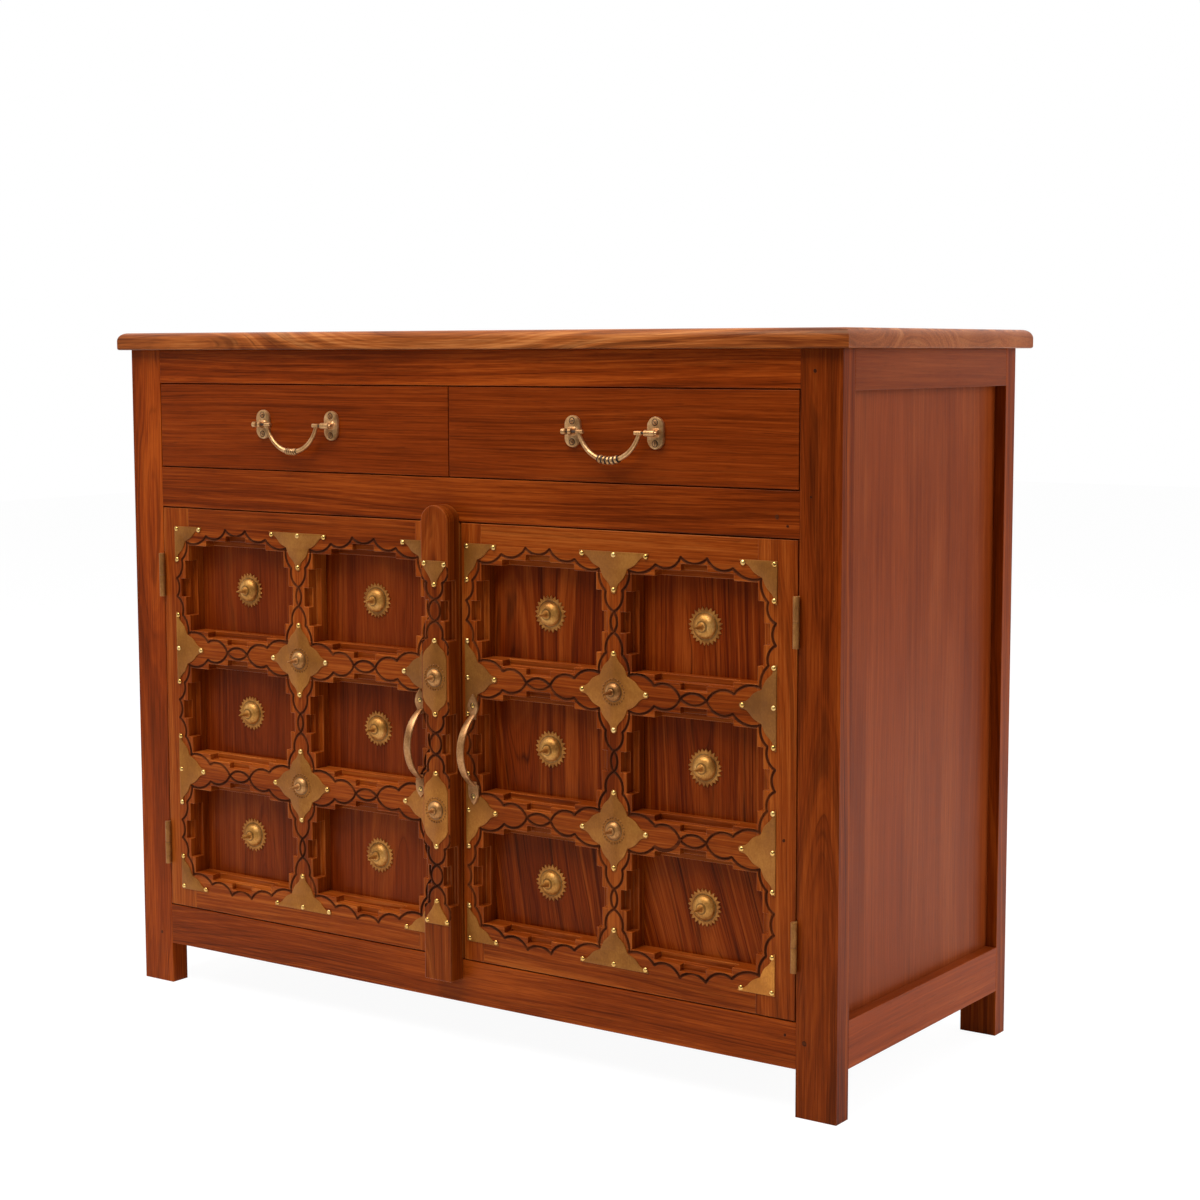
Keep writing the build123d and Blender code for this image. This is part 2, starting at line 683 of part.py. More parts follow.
for side, hand, lattice_x, leaf_x0, leaf_x1, pull_x in LEAVES:
    with BuildPart() as star_plates:
        with BuildSketch(upright(door_face)):
            with Locations(crossings(lattice_x)):
                add(star.sketch)
            with Locations((lattice_x + lattice_width / 2, lattice_bottom + lattice_height / 2)):
                Rectangle(lattice_width, lattice_height, mode=Mode.INTERSECT)
        extrude(amount=plate_thickness)
    star_plates.part.label = f"{hand}_door_plates"
    export_step(star_plates.part, f"parts/{hand}_door_plates.step")

with BuildPart() as stile_plates:
    with BuildSketch(upright(stile_face)):
        with Locations(stile_stars):
            add(star.sketch)
        with Locations((stile_centre_x, lattice_bottom + lattice_height / 2)):
            Rectangle(stile_plate_width, lattice_height, mode=Mode.INTERSECT)
        crests = ((lattice_top - stile_crest_inset, -90), (lattice_bottom + stile_crest_inset, 90))
        for z, turn in crests:
            with Locations(Location((stile_centre_x, z, 0), (0, 0, turn))):
                add(crest.sketch)
    extrude(amount=plate_thickness)
stile_plates.part.label = "centre_stile_plates"
export_step(stile_plates.part, "parts/centre_stile_plates.step")

# ---- doors: sunbursts and studs -----------------------------------------------------------------
sun_rim = []
for tooth in range(sun_teeth):
    for reach, turn in ((sun_radius, tooth), (sun_root_radius, tooth + 0.5)):
        angle = radians(360 * turn / sun_teeth)
        sun_rim.append((reach * cos(angle), reach * sin(angle)))


def domed_stud(radius, shoulder, neck, length):
    """A hammered dome with a spike, seated on the plane y = 0 and pointing to the front."""
    rings = [(radius, 0), shoulder, neck, (stud_tip, length)]
    with BuildPart() as stud:
        for lower, upper in zip(rings, rings[1:]):
            for ring_radius, height in (lower, upper):
                with BuildSketch(Plane.XZ.offset(height)):
                    RegularPolygon(ring_radius, stud_sides)
            loft(ruled=True)
    return stud.part


large_stud = domed_stud(stud_radius, stud_shoulder, stud_neck, stud_length)
small_stud = domed_stud(small_stud_radius, small_stud_shoulder, small_stud_neck, small_stud_length)
for side, hand, lattice_x, leaf_x0, leaf_x1, pull_x in LEAVES:
    with BuildPart() as leaf_sunbursts:
        with BuildSketch(upright(panel_face)):
            with Locations(cell_middles(lattice_x)):
                Polygon(*sun_rim, align=None)
        extrude(amount=sun_thickness)
    leaf_sunbursts.part.label = f"{hand}_door_sunbursts"
    export_step(leaf_sunbursts.part, f"parts/{hand}_door_sunbursts.step")

    stud_places = [
        (large_stud, panel_face - sun_thickness, cell_middles(lattice_x)),
        (small_stud, door_face - plate_thickness, crossings(lattice_x, 1)),
    ]
    if side < 0:
        stud_places.append((small_stud, stile_face - plate_thickness, stile_stars))
    with BuildPart() as leaf_studs:
        for stud, y, points in stud_places:
            with Locations([(x, face_y + y, z) for x, z in points]):
                add(stud)
    leaf_studs.part.label = f"{hand}_door_studs"
    export_step(leaf_studs.part, f"parts/{hand}_door_studs.step")

# ---- doors: pulls -------------------------------------------------------------------------------
pull_foot = door_face - plate_thickness  # the feet lie over the star plates
bow_sagitta = pull_reach - plate_thickness
bow_radius = (pull_chord**2 / 4 + bow_sagitta**2) / (2 * bow_sagitta)
for side, hand, lattice_x, leaf_x0, leaf_x1, pull_x in LEAVES:
    with BuildPart() as pull:
        bow_plane = Plane(
            origin=(pull_x, face_y + pull_foot - bow_sagitta + bow_radius, pull_middle_z),
            x_dir=(0, -1, 0),
            z_dir=(-1, 0, 0),
        )
        with BuildSketch(bow_plane):
            Circle(bow_radius)
            Circle(bow_radius - pull_strap_thickness, mode=Mode.SUBTRACT)
            with Locations((bow_radius - bow_sagitta, 0)):
                Rectangle(
                    bow_radius, 2 * bow_radius, align=(Align.MIN, Align.CENTER), mode=Mode.INTERSECT
                )
        extrude(amount=pull_strap_width / 2, both=True)
        arcs = pull.edges().filter_by(GeomType.CIRCLE).sort_by(SortBy.RADIUS)
        chamfer(arcs[-2:], pull_strap_ease)
        with BuildSketch(upright(pull_foot)):
            upper, lower = pull_middle_z + pull_chord / 2, pull_middle_z - pull_chord / 2
            neck, half = pull_strap_width / 2, pull_plate_half
            with BuildLine():
                low_y = upper - 2 * pull_strap_thickness
                belly_y = upper + pull_upper_length / 3
                Line((pull_x - neck, low_y), (pull_x + neck, low_y))
                for way in (-1, 1):
                    ThreePointArc(
                        (pull_x + way * neck, low_y),
                        (pull_x + way * half, belly_y),
                        (pull_x, upper + pull_upper_length),
                    )
            make_face()
            with BuildLine():
                Polyline(
                    (pull_x - half, lower + 2 * pull_strap_thickness),
                    (pull_x + half, lower + 2 * pull_strap_thickness),
                    (pull_x + half, lower - pull_lower_shoulder),
                    (pull_x, lower - pull_lower_length),
                    (pull_x - half, lower - pull_lower_shoulder),
                    close=True,
                )
            make_face()
        extrude(amount=pull_plate_thickness)
    pull.part.label = f"{hand}_door_pull"
    export_step(pull.part, f"parts/{hand}_door_pull.step")

# ---- drawers ------------------------------------------------------------------------------------
slide_z = drawer_low + drawer_slide_clearance
side_high = drawer_high - drawer_side_drop
drawer_length = rear_rail_front - drawer_back_gap
bottom_z = slide_z + drawer_bottom_rise
back_z = bottom_z + drawer_bottom_thickness
back_front = drawer_length - drawer_side_thickness
tongue_y = drawer_front_thickness - drawer_groove  # front end of a drawer's sides, in its front
outer_x = open_x - drawer_side_play
inner_x = divider_thickness / 2 + drawer_side_play
bail_half = bail_arm_spacing / 2


def drawer_bottom_board(side, gap=0.0, mode=Mode.ADD):
    """A drawer's bottom out to the ends of its grooves, or with gap the grooves themselves."""
    reach = drawer_groove + gap
    x0 = side * (inner_x + drawer_side_thickness - reach)
    x1 = side * (outer_x - drawer_side_thickness + reach)
    y0 = drawer_front_thickness - reach
    block(x0, x1, y0, drawer_length, bottom_z, back_z, mode)


def drawer_back_board(side, gap=0.0, mode=Mode.ADD):
    """A drawer's back out to the ends of its housings, or with gap the housings themselves."""
    reach = drawer_groove + gap
    x0 = side * (inner_x + drawer_side_thickness - reach)
    x1 = side * (outer_x - drawer_side_thickness + reach)
    block(x0, x1, back_front, drawer_length, back_z, side_high - drawer_back_drop, mode)


def drawer_side_boards(side, mode=Mode.ADD):
    """A drawer's two sides, let into its front."""
    for x in (inner_x, outer_x - drawer_side_thickness):
        x0, x1 = side * x, side * (x + drawer_side_thickness)
        block(x0, x1, tongue_y, drawer_length, slide_z, side_high, mode)


for side, hand in SIDES:
    drawer_x0, drawer_x1 = side * drawer_gap / 2, side * (open_x - drawer_gap)
    drawer_mid_x = (drawer_x0 + drawer_x1) / 2
    bracket_xs = (drawer_mid_x - bracket_spacing / 2, drawer_mid_x + bracket_spacing / 2)

    with BuildPart() as drawer_front:
        z0, z1 = drawer_low + drawer_gap, drawer_high - drawer_gap
        block(drawer_x0, drawer_x1, 0, drawer_front_thickness, z0, z1)
        drawer_side_boards(side, Mode.SUBTRACT)
        drawer_bottom_board(side, glue_gap, Mode.SUBTRACT)
    drawer_front.part.label = f"{hand}_drawer_front"
    export_step(drawer_front.part, f"parts/{hand}_drawer_front.step")

    with BuildPart() as drawer_sides:
        drawer_side_boards(side)
        drawer_bottom_board(side, glue_gap, Mode.SUBTRACT)
        drawer_back_board(side, glue_gap, Mode.SUBTRACT)
    drawer_sides.part.label = f"{hand}_drawer_sides"
    export_step(drawer_sides.part, f"parts/{hand}_drawer_sides.step")

    with BuildPart() as drawer_back:
        drawer_back_board(side)
    drawer_back.part.label = f"{hand}_drawer_back"
    export_step(drawer_back.part, f"parts/{hand}_drawer_back.step")

    with BuildPart() as drawer_bottom:
        drawer_bottom_board(side)
    drawer_bottom.part.label = f"{hand}_drawer_bottom"
    export_step(drawer_bottom.part, f"parts/{hand}_drawer_bottom.step")

    # Bail brackets: oval plates, each with a lug that holds one of the bail's pins.
    with BuildPart() as bail_brackets:
        with BuildSketch(upright(0)):
            with Locations([(x, bracket_z) for x in bracket_xs]):
                SlotOverall(bracket_height, bracket_width, rotation=90)
        extrude(amount=bracket_thickness)
        for x in bracket_xs:
            lug_plane = Plane(origin=(x, face_y, bracket_z), x_dir=(0, -1, 0), z_dir=(-1, 0, 0))
            with BuildSketch(lug_plane):
                with Locations((-pivot_y, 0)):
                    Circle(lug_radius)
                Rectangle(-pivot_y, 2 * lug_radius, align=(Align.MIN, Align.CENTER))
            extrude(amount=lug_width / 2, both=True)
            with BuildSketch(lug_plane):
                with Locations((-pivot_y, 0)):
                    Circle(bail_pin_radius + bail_pin_clearance)
            extrude(amount=lug_width / 2, both=True, mode=Mode.SUBTRACT)
    bail_brackets.part.label = f"{hand}_bail_brackets"
    export_step(bail_brackets.part, f"parts/{hand}_bail_brackets.step")

    # Bail: a bowed rod, its ends turned outwards as the pins in the lugs.
    with BuildPart() as bail:
        bail_plane = Plane(
            origin=(drawer_mid_x, face_y + pivot_y, bracket_z), x_dir=(1, 0, 0), z_dir=(0, -1, 0)
        )
        with BuildLine(bail_plane) as bail_line:
            ThreePointArc((-bail_half, 0), (0, -bail_drop), (bail_half, 0))
        with BuildSketch(bail_line.line ^ 0):
            RegularPolygon(bail_rod_radius, bail_rod_sides)
        sweep(path=bail_line.line)
        pin_outer = bracket_spacing / 2 + lug_width / 2 + bail_pin_end
        pin_inner = bail_half - bail_rod_radius - bail_pin_end
        for way in (-1, 1):
            x = drawer_mid_x + way * (pin_outer + pin_inner) / 2
            with Locations((x, face_y + pivot_y, bracket_z)):
                Cylinder(bail_pin_radius, pin_outer - pin_inner, rotation=(0, 90, 0))
    bail.part.label = f"{hand}_bail"
    export_step(bail.part, f"parts/{hand}_bail.step")
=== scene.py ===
import bmesh
import bpy
import json
import math
import random
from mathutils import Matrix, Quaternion, Vector


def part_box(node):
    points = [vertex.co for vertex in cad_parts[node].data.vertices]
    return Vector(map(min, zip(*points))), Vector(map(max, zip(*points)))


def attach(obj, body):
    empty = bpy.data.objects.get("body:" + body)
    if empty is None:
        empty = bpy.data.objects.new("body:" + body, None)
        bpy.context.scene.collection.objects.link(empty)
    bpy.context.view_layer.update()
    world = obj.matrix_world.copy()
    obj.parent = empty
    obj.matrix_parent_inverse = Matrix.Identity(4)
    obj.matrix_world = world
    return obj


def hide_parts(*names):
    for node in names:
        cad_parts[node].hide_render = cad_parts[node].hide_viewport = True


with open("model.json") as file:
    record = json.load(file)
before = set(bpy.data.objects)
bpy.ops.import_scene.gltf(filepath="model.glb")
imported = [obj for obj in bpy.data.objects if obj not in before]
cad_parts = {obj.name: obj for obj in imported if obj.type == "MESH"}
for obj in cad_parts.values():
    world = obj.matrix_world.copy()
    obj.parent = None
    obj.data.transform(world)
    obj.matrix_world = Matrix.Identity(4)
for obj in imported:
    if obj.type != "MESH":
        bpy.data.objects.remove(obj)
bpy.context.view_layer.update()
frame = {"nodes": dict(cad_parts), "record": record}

# Lengths are millimetres until a point is handed to place(); y counts back from the posts' front faces.
MM = 0.001
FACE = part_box("front_right_post")[0].y / MM

# The carved lattice: its cells' pitch, its lowest line, and the left line of each leaf's lattice.
LATTICE_W, LATTICE_H, LATTICE_LOW = 227.5, 170.0, 139.5
LEAVES = (("left", -484.5), ("right", 24.5))
COLUMNS, ROWS = 2, 3
# The faces that brass lies on: the leaves, their panels and the centre stile.
LEAF_Y, PANEL_Y, STILE_Y = -0.4, 26.6, -25.4
STILE_X = -4.8
PLATE = 1.2  # thickness of the star plates

NODE_SLOT = {entry["node"]: entry["material_slot"] for entry in frame["record"]["subparts"]}
NODE_BODY = {n: b for b, ns in frame["record"]["behaviour"]["bodies"].items() for n in ns}


def place(x, y, z):
    return Vector((x * MM, (FACE + y) * MM, z * MM))


# ---- materials ----
def srgb(rgb):
    """A linear colour from 8-bit sRGB values."""
    out = []
    for v in rgb:
        v = v / 255
        out.append(v / 12.92 if v <= 0.04045 else ((v + 0.055) / 1.055) ** 2.4)
    return (*out, 1.0)


class Graph:
    """Builds the nodes of a material or of the world."""

    def __init__(self, owner):
        owner.use_nodes = True
        self.tree = owner.node_tree

    def put(self, node, inputs):
        """Links each socket that is given for an input, and sets each constant."""
        for key, value in inputs.items():
            if isinstance(value, bpy.types.NodeSocket):
                self.tree.links.new(value, node.inputs[key])
            else:
                node.inputs[key].default_value = value
        return node

    def add(self, kind, inputs=None, **settings):
        node = self.tree.nodes.new(kind)
        for key, value in settings.items():
            setattr(node, key, value)
        return self.put(node, inputs or {})

    def math(self, operation, a, b=0.0):
        return self.add("ShaderNodeMath", {0: a, 1: b}, operation=operation).outputs[0]

    def total(self, *terms):
        """The sum of (socket, weight) pairs."""
        parts = [self.math("MULTIPLY", socket, weight) for socket, weight in terms]
        out = parts[0]
        for part in parts[1:]:
            out = self.math("ADD", out, part)
        return out

    def attribute(self, name, output="Fac"):
        return self.add("ShaderNodeAttribute", attribute_name=name).outputs[output]

    def noise(self, at, scale, detail, rough, dims="3D"):
        """Noise over a position, or over a number where dims is 1D."""
        inputs = {"W" if dims == "1D" else "Vector": at, "Scale": scale, "Detail": detail, "Roughness": rough}
        return self.add("ShaderNodeTexNoise", inputs, noise_dimensions=dims).outputs["Fac"]

    def streaks(self, at, scales, detail, rough):
        """Noise drawn out along an axis: scales gives its repeats per metre along x, y and z."""
        stretched = self.add("ShaderNodeMapping", {"Vector": at, "Scale": scales}).outputs["Vector"]
        return self.noise(stretched, 1.0, detail, rough)

    def ramp(self, fac, *stops):
        node = self.add("ShaderNodeValToRGB", {"Fac": fac})
        elements = node.color_ramp.elements
        while len(elements) < len(stops):
            elements.new(0.5)
        for element, (at, colour) in zip(elements, stops):
            element.position = at
            element.color = colour
        return node.outputs["Color"]

    def mix(self, fac, a, b, kind="RGBA"):
        first, result = {"FLOAT": (2, 0), "RGBA": (6, 2)}[kind]
        node = self.add("ShaderNodeMix", {0: fac, first: a, first + 1: b}, data_type=kind)
        return node.outputs[result]

    def shade(self, colour, value):
        return self.add("ShaderNodeHueSaturation", {"Value": value, "Color": colour}).outputs[0]

    def bump(self, height, strength, distance):
        inputs = {"Height": height, "Strength": strength, "Distance": distance}
        return self.add("ShaderNodeBump", inputs).outputs[0]

    def surface(self, **inputs):
        """Sets inputs of the Principled BSDF, named with _ for a space."""
        self.put(self.tree.nodes["Principled BSDF"], {key.replace("_", " "): v for key, v in inputs.items()})


BLACK, WHITE = (0, 0, 0, 1), (1, 1, 1, 1)
LOOKS = {}  # the materials by name


def new_look(name):
    LOOKS[name] = bpy.data.materials.new(name)
    return Graph(LOOKS[name])


def wood(name, dark, mid, light, rings=190, wander=2.6, figure=(0.8, 0.55, 0.7), lines=0.45, pores=0.35,
         rough=0.36, gloss=0.11):
    """Oiled timber in its board's own coordinates, x along the grain.

    Rings counts the growth rings per metre and wander is how far they drift; figure weighs rings, fibre and
    blotches; lines and pores are how strongly the dark lines and the pores show.
    """
    g = new_look(name)
    dark, mid, light = srgb(dark), srgb(mid), srgb(light)
    deep = tuple(c * 0.35 for c in dark[:3]) + (1.0,)
    at = g.attribute("board", "Vector")

    parts = g.add("ShaderNodeSeparateXYZ", {0: at}).outputs
    flat = g.add("ShaderNodeCombineXYZ", {1: parts[1], 2: parts[2]}).outputs[0]
    radius = g.add("ShaderNodeVectorMath", {0: flat}, operation="LENGTH").outputs["Value"]
    drift = g.streaks(at, (1.7, 9, 9), 1.0, 0.4)
    waver = g.streaks(at, (9, 40, 40), 1.0, 0.4)
    ring_at = g.total((radius, rings), (drift, wander * 5), (waver, 0.9))

    ring = g.noise(ring_at, 0.45, 4.0, 0.7, "1D")
    fibre = g.streaks(at, (11, 520, 520), 3.0, 0.65)
    blotch = g.streaks(at, (2.4, 15, 15), 2.0, 0.5)
    fac = g.total((ring, figure[0]), (fibre, figure[1]), (blotch, figure[2]))
    fac = g.math("SUBTRACT", fac, (sum(figure) - 1) / 2)
    colour = g.ramp(fac, (0.28, dark), (0.5, mid), (0.72, light))

    line = g.noise(g.math("ADD", ring_at, 57.0), 0.8, 1.0, 0.5, "1D")
    line_on = g.ramp(g.math("ABSOLUTE", g.math("SUBTRACT", line, 0.5)), (0.0, WHITE), (0.035, BLACK))
    gate_on = g.ramp(g.streaks(at, (6, 70, 70), 2.0, 0.6), (0.42, BLACK), (0.6, WHITE))
    colour = g.mix(g.math("MULTIPLY", g.math("MULTIPLY", line_on, gate_on), lines), colour, deep)

    pore_on = g.ramp(g.streaks(at, (42, 1500, 1500), 1.0, 0.5), (0.60, BLACK), (0.70, WHITE))
    colour = g.mix(g.math("MULTIPLY", pore_on, pores), colour, deep)

    value = g.math("ADD", g.math("MULTIPLY", g.attribute("tone"), 0.5), 0.75)
    g.surface(
        Base_Color=g.shade(colour, value),
        Roughness=g.math("ADD", g.math("MULTIPLY", fibre, 0.16), rough - 0.08),
        Normal=g.bump(g.total((fibre, 0.6), (pore_on, -0.4)), 0.2, 0.0004),
        Specular_IOR_Level=gloss,
        Specular_Tint=(1.0, 0.88, 0.5, 1.0),
    )


def brass(name, dark, mid, light, rough=0.4, metallic=0.8, blotch=45.0, relief=0.25, toned=False):
    """Aged brass with tarnished blotches, fine pits and scratches; toned plates differ from one another."""
    g = new_look(name)
    at = g.add("ShaderNodeTexCoord").outputs["Object"]
    patch = g.noise(at, blotch, 4.0, 0.6)
    fleck = g.noise(at, 420, 3.0, 0.6)
    rub = g.streaks(at, (900, 900, 160), 2.0, 0.5)
    fac = g.total((patch, 0.6), (fleck, 0.25), (rub, 0.15))
    colour = g.ramp(fac, (0.36, srgb(dark)), (0.5, srgb(mid)), (0.62, srgb(light)))
    if toned:
        colour = g.shade(colour, g.attribute("tone"))
    g.surface(
        Base_Color=colour,
        Metallic=metallic,
        Roughness=g.math("ADD", g.math("MULTIPLY", patch, 0.25), rough - 0.12),
        Normal=g.bump(g.total((patch, 0.7), (fleck, 0.3)), relief, 0.0006),
    )


wood("case_wood", (80, 24, 0), (116, 42, 4), (146, 64, 14), rings=290, figure=(0.7, 0.7, 0.6))
wood("side_wood", (104, 38, 8), (126, 52, 16), (146, 70, 30), rings=260, figure=(0.4, 0.5, 0.6), lines=0.2,
     pores=0.3)
wood("top_wood", (102, 40, 9), (156, 81, 32), (198, 122, 64), rings=95, wander=3.6, figure=(0.85, 0.6, 0.6),
     lines=0.6, gloss=0.2)
wood("door_wood", (98, 32, 2), (138, 57, 10), (166, 84, 27), rings=260, figure=(0.65, 0.65, 0.6), lines=0.4)
wood("door_panel_wood", (76, 16, 0), (112, 38, 2), (142, 62, 14), rings=420, wander=2.4,
     figure=(0.9, 0.6, 0.4), lines=0.8)
wood("drawer_front_wood", (88, 28, 0), (116, 42, 4), (138, 58, 12), rings=400, wander=2.2,
     figure=(0.6, 0.7, 0.4), lines=0.5)
wood("inner_wood", (104, 50, 20), (138, 76, 36), (166, 104, 58), rough=0.6, figure=(0.6, 0.5, 0.5), lines=0.3)
wood("end_wood", (112, 50, 18), (146, 76, 36), (172, 104, 58), rings=240, wander=1.2, figure=(0.5, 0.6, 0.5),
     lines=0.3, gloss=0.2)
wood("plain_panel_wood", (84, 22, 0), (114, 40, 5), (138, 60, 15), rings=420, wander=2.4,
     figure=(0.55, 0.6, 0.5), lines=0.4)
# Rubbed edges: worn wood, lighter and glossier, whose lighter colour also stands for a painted highlight
# along the edges.
wood("rubbed_and_highlit_wood", (104, 38, 6), (144, 63, 15), (172, 90, 32), rings=260, figure=(0.65, 0.65, 0.6),
     lines=0.3, gloss=0.24)
# The grooves' wood is painted dark: painted shade in the carved V.
wood("groove_shade_wood", (56, 17, 3), (80, 30, 7), (104, 46, 14), rough=0.6)
wood("peg_wood", (38, 12, 4), (60, 24, 8), (82, 36, 14), rough=0.5)

brass("plate_brass", (138, 82, 25), (156, 95, 30), (174, 113, 41), rough=0.48, metallic=0.6, blotch=22.0,
      relief=0.1, toned=True)
brass("sunburst_brass", (140, 84, 32), (175, 113, 46), (200, 139, 66), rough=0.46, metallic=0.65,
      blotch=60.0, relief=0.15)
brass("stud_brass", (150, 94, 38), (196, 137, 62), (224, 169, 96), rough=0.47, metallic=0.7, blotch=30.0,
      relief=0.06, toned=True)
brass("handle_brass", (152, 106, 62), (196, 146, 94), (226, 180, 128), rough=0.36, metallic=0.78,
      blotch=60.0, relief=0.12)
brass("hinge_brass", (126, 78, 32), (152, 98, 44), (174, 120, 60), rough=0.5, metallic=0.6)
brass("star_stud_brass", (130, 82, 38), (172, 118, 62), (204, 152, 94), rough=0.44, metallic=0.7,
      blotch=30.0, relief=0.06, toned=True)
brass("pull_brass", (130, 84, 46), (170, 118, 70), (202, 152, 102), metallic=0.72, blotch=40.0, relief=0.1,
      toned=True)
brass("nail_brass", (184, 132, 60), (230, 182, 100), (248, 212, 140), rough=0.26, metallic=0.9)
# Painted shade: near-black brass for screw slots and seats, the bails' pin gaps and the core between the
# grip's rings.
brass("painted_shade_brass", (34, 18, 8), (50, 28, 12), (68, 42, 20), rough=0.6, metallic=0.3)


# ---- meshes and objects ----
def linked(name, data):
    obj = bpy.data.objects.new(name, data)
    bpy.context.scene.collection.objects.link(obj)
    return obj


def stand_in(obj, node):
    """The object takes a CAD node's place."""
    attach(obj, NODE_BODY[node])
    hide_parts(node)


def opened(mesh):
    bm = bmesh.new()
    bm.from_mesh(mesh)
    return bm


def closed_mesh(name, verts, faces):
    """A mesh whose faces all look outwards."""
    mesh = bpy.data.meshes.new(name)
    mesh.from_pydata(verts, [], faces)
    bm = opened(mesh)
    bmesh.ops.recalc_face_normals(bm, faces=bm.faces)
    bm.to_mesh(mesh)
    bm.free()
    return mesh


def volume(mesh):
    bm = opened(mesh)
    amount = bm.calc_volume()
    bm.free()
    return amount


def bevel(bm, edges, width, segments=2, **settings):
    bmesh.ops.bevel(bm, geom=edges, offset=width * MM, segments=segments, profile=0.5, affect="EDGES",
                    **settings)


def smooth(mesh, degrees):
    for p in mesh.polygons:
        p.use_smooth = True
    mesh.set_sharp_from_angle(angle=math.radians(degrees))


def applied(obj):
    """The object's mesh with its modifiers in it, which are then cleared."""
    graph = bpy.context.evaluated_depsgraph_get()
    mesh = bpy.data.meshes.new_from_object(obj.evaluated_get(graph), depsgraph=graph)
    obj.modifiers.clear()
    return mesh


def carved(obj, cutter, careful):
    """The object's mesh less the cutter; the careful way is slow, and allows meshes to cross themselves."""
    mod = obj.modifiers.new("cut", "BOOLEAN")
    mod.operation = "DIFFERENCE"
    mod.solver = "EXACT"
    mod.use_self = careful
    mod.object = cutter
    return applied(obj)


# ---- wooden boards ----
AXES = {"X": (0, 1, 2), "Y": (1, 0, 2), "Z": (2, 0, 1)}  # along the grain, across it and through the board
# Rubbed edges: their wood is worn lighter, and the lighter tone also paints on the highlight that light
# leaves along edges.
WORN_AND_HIGHLIT = 2  # material index of rubbed edges
WORN_HIGHLIGHT_TONE = 0.2
WELD = 2e-6  # metres
FLAT_ANGLE, SHARP_ANGLE = 0.005, 0.6
# What a cut may leave of a board's volume; outside this the boolean has failed.
LEAST_LEFT, MOST_LEFT = 0.93, 1.001


def own_mesh(node, edge):
    """A copy of a CAD node's mesh with whole faces, its edges softened by this width."""
    bm = opened(frame["nodes"][node].data)
    bmesh.ops.remove_doubles(bm, verts=bm.verts, dist=WELD)
    bmesh.ops.dissolve_limit(bm, angle_limit=FLAT_ANGLE, verts=bm.verts, edges=bm.edges)
    sharp = [e for e in bm.edges if len(e.link_faces) == 2 and e.calc_face_angle(0) > SHARP_ANGLE]
    bevel(bm, sharp, edge, clamp_overlap=True, material=WORN_AND_HIGHLIT)
    return bm


def seams_at(*ys):
    """Where glued boards meet, in metres."""
    return [(FACE + y) * MM for y in ys]


def cut_boards(bm, seams):
    """Cuts the mesh where two glued boards meet, so that each can have its own grain."""
    for at in seams:
        geom = list(bm.verts) + list(bm.edges) + list(bm.faces)
        bmesh.ops.bisect_plane(bm, geom=geom, plane_co=(0, at, 0), plane_no=(0, 1, 0), dist=1e-6)


def shells(mesh):
    """The number of each vertex's shell."""
    neighbours = [[] for _ in mesh.vertices]
    for e in mesh.edges:
        a, b = e.vertices
        neighbours[a].append(b)
        neighbours[b].append(a)
    shell = [None] * len(neighbours)
    count = 0
    for start in range(len(shell)):
        if shell[start] is not None:
            continue
        shell[start] = count
        stack = [start]
        while stack:
            for n in neighbours[stack.pop()]:
                if shell[n] is None:
                    shell[n] = count
                    stack.append(n)
        count += 1
    return shell


def grain(mesh, axis, seed, spread=1.0, seams=(), leans=(), level=1.0):
    """Stores each face's place in its own board and its tone, for the wood materials.

    Level and spread set the boards' tones, rubbed edges are lighter, for wear and as a painted highlight, and
    leans may turn each board's grain.
    """
    shell = shells(mesh)
    boards = {}
    for poly in mesh.polygons:
        key = (shell[poly.vertices[0]], sum(poly.center.y > at for at in seams))
        boards.setdefault(key, []).append(poly)
    along, across, deep = AXES[axis]
    spots = [0.0] * (3 * len(mesh.loops))
    tones = [0.0] * len(mesh.loops)
    for number, (key, polys) in enumerate(sorted(boards.items(), key=lambda item: str(item[0]))):
        rng = random.Random(f"{seed}{number}")
        points = [mesh.vertices[v].co for p in polys for v in p.vertices]
        middle = [(min(p[i] for p in points) + max(p[i] for p in points)) / 2 for i in range(3)]
        shift = (rng.uniform(0, 9), rng.uniform(-0.06, 0.06), rng.choice((-1, 1)) * rng.uniform(0.06, 0.2))
        lean = rng.uniform(-0.02, 0.02)
        if leans:
            lean = leans[number]
        value = (level - 0.75) * 2 + rng.uniform(-0.5, 0.5) * spread
        for p in polys:
            worn_and_highlit = p.material_index == WORN_AND_HIGHLIT
            for loop in p.loop_indices:
                co = mesh.vertices[mesh.loops[loop].vertex_index].co
                a, b, c = co[along] - middle[along], co[across] - middle[across], co[deep] - middle[deep]
                a, b = a * math.cos(lean) - b * math.sin(lean), a * math.sin(lean) + b * math.cos(lean)
                spots[3 * loop:3 * loop + 3] = (a + shift[0], b + shift[1], c + shift[2])
                tones[loop] = value + WORN_HIGHLIGHT_TONE * worn_and_highlit
            if worn_and_highlit and len(mesh.materials) <= WORN_AND_HIGHLIT:
                p.material_index = 0
    mesh.attributes.new("board", "FLOAT_VECTOR", "CORNER").data.foreach_set("vector", spots)
    mesh.attributes.new("tone", "FLOAT", "CORNER").data.foreach_set("value", tones)


def board_object(name, bm, looks, cutters=()):
    mesh = bpy.data.meshes.new(name)
    bm.to_mesh(mesh)
    bm.free()
    for look in looks:
        mesh.materials.append(LOOKS[look])
    obj = linked(name, mesh)
    for cutter in cutters:
        before = volume(obj.data)
        for careful in (False, True):
            cut = carved(obj, cutter, careful)
            if LEAST_LEFT * before < volume(cut) <= MOST_LEFT * before:
                obj.data = cut
                break
        else:
            print("left uncut:", name, cutter.name)
    obj.data.name = name
    return obj


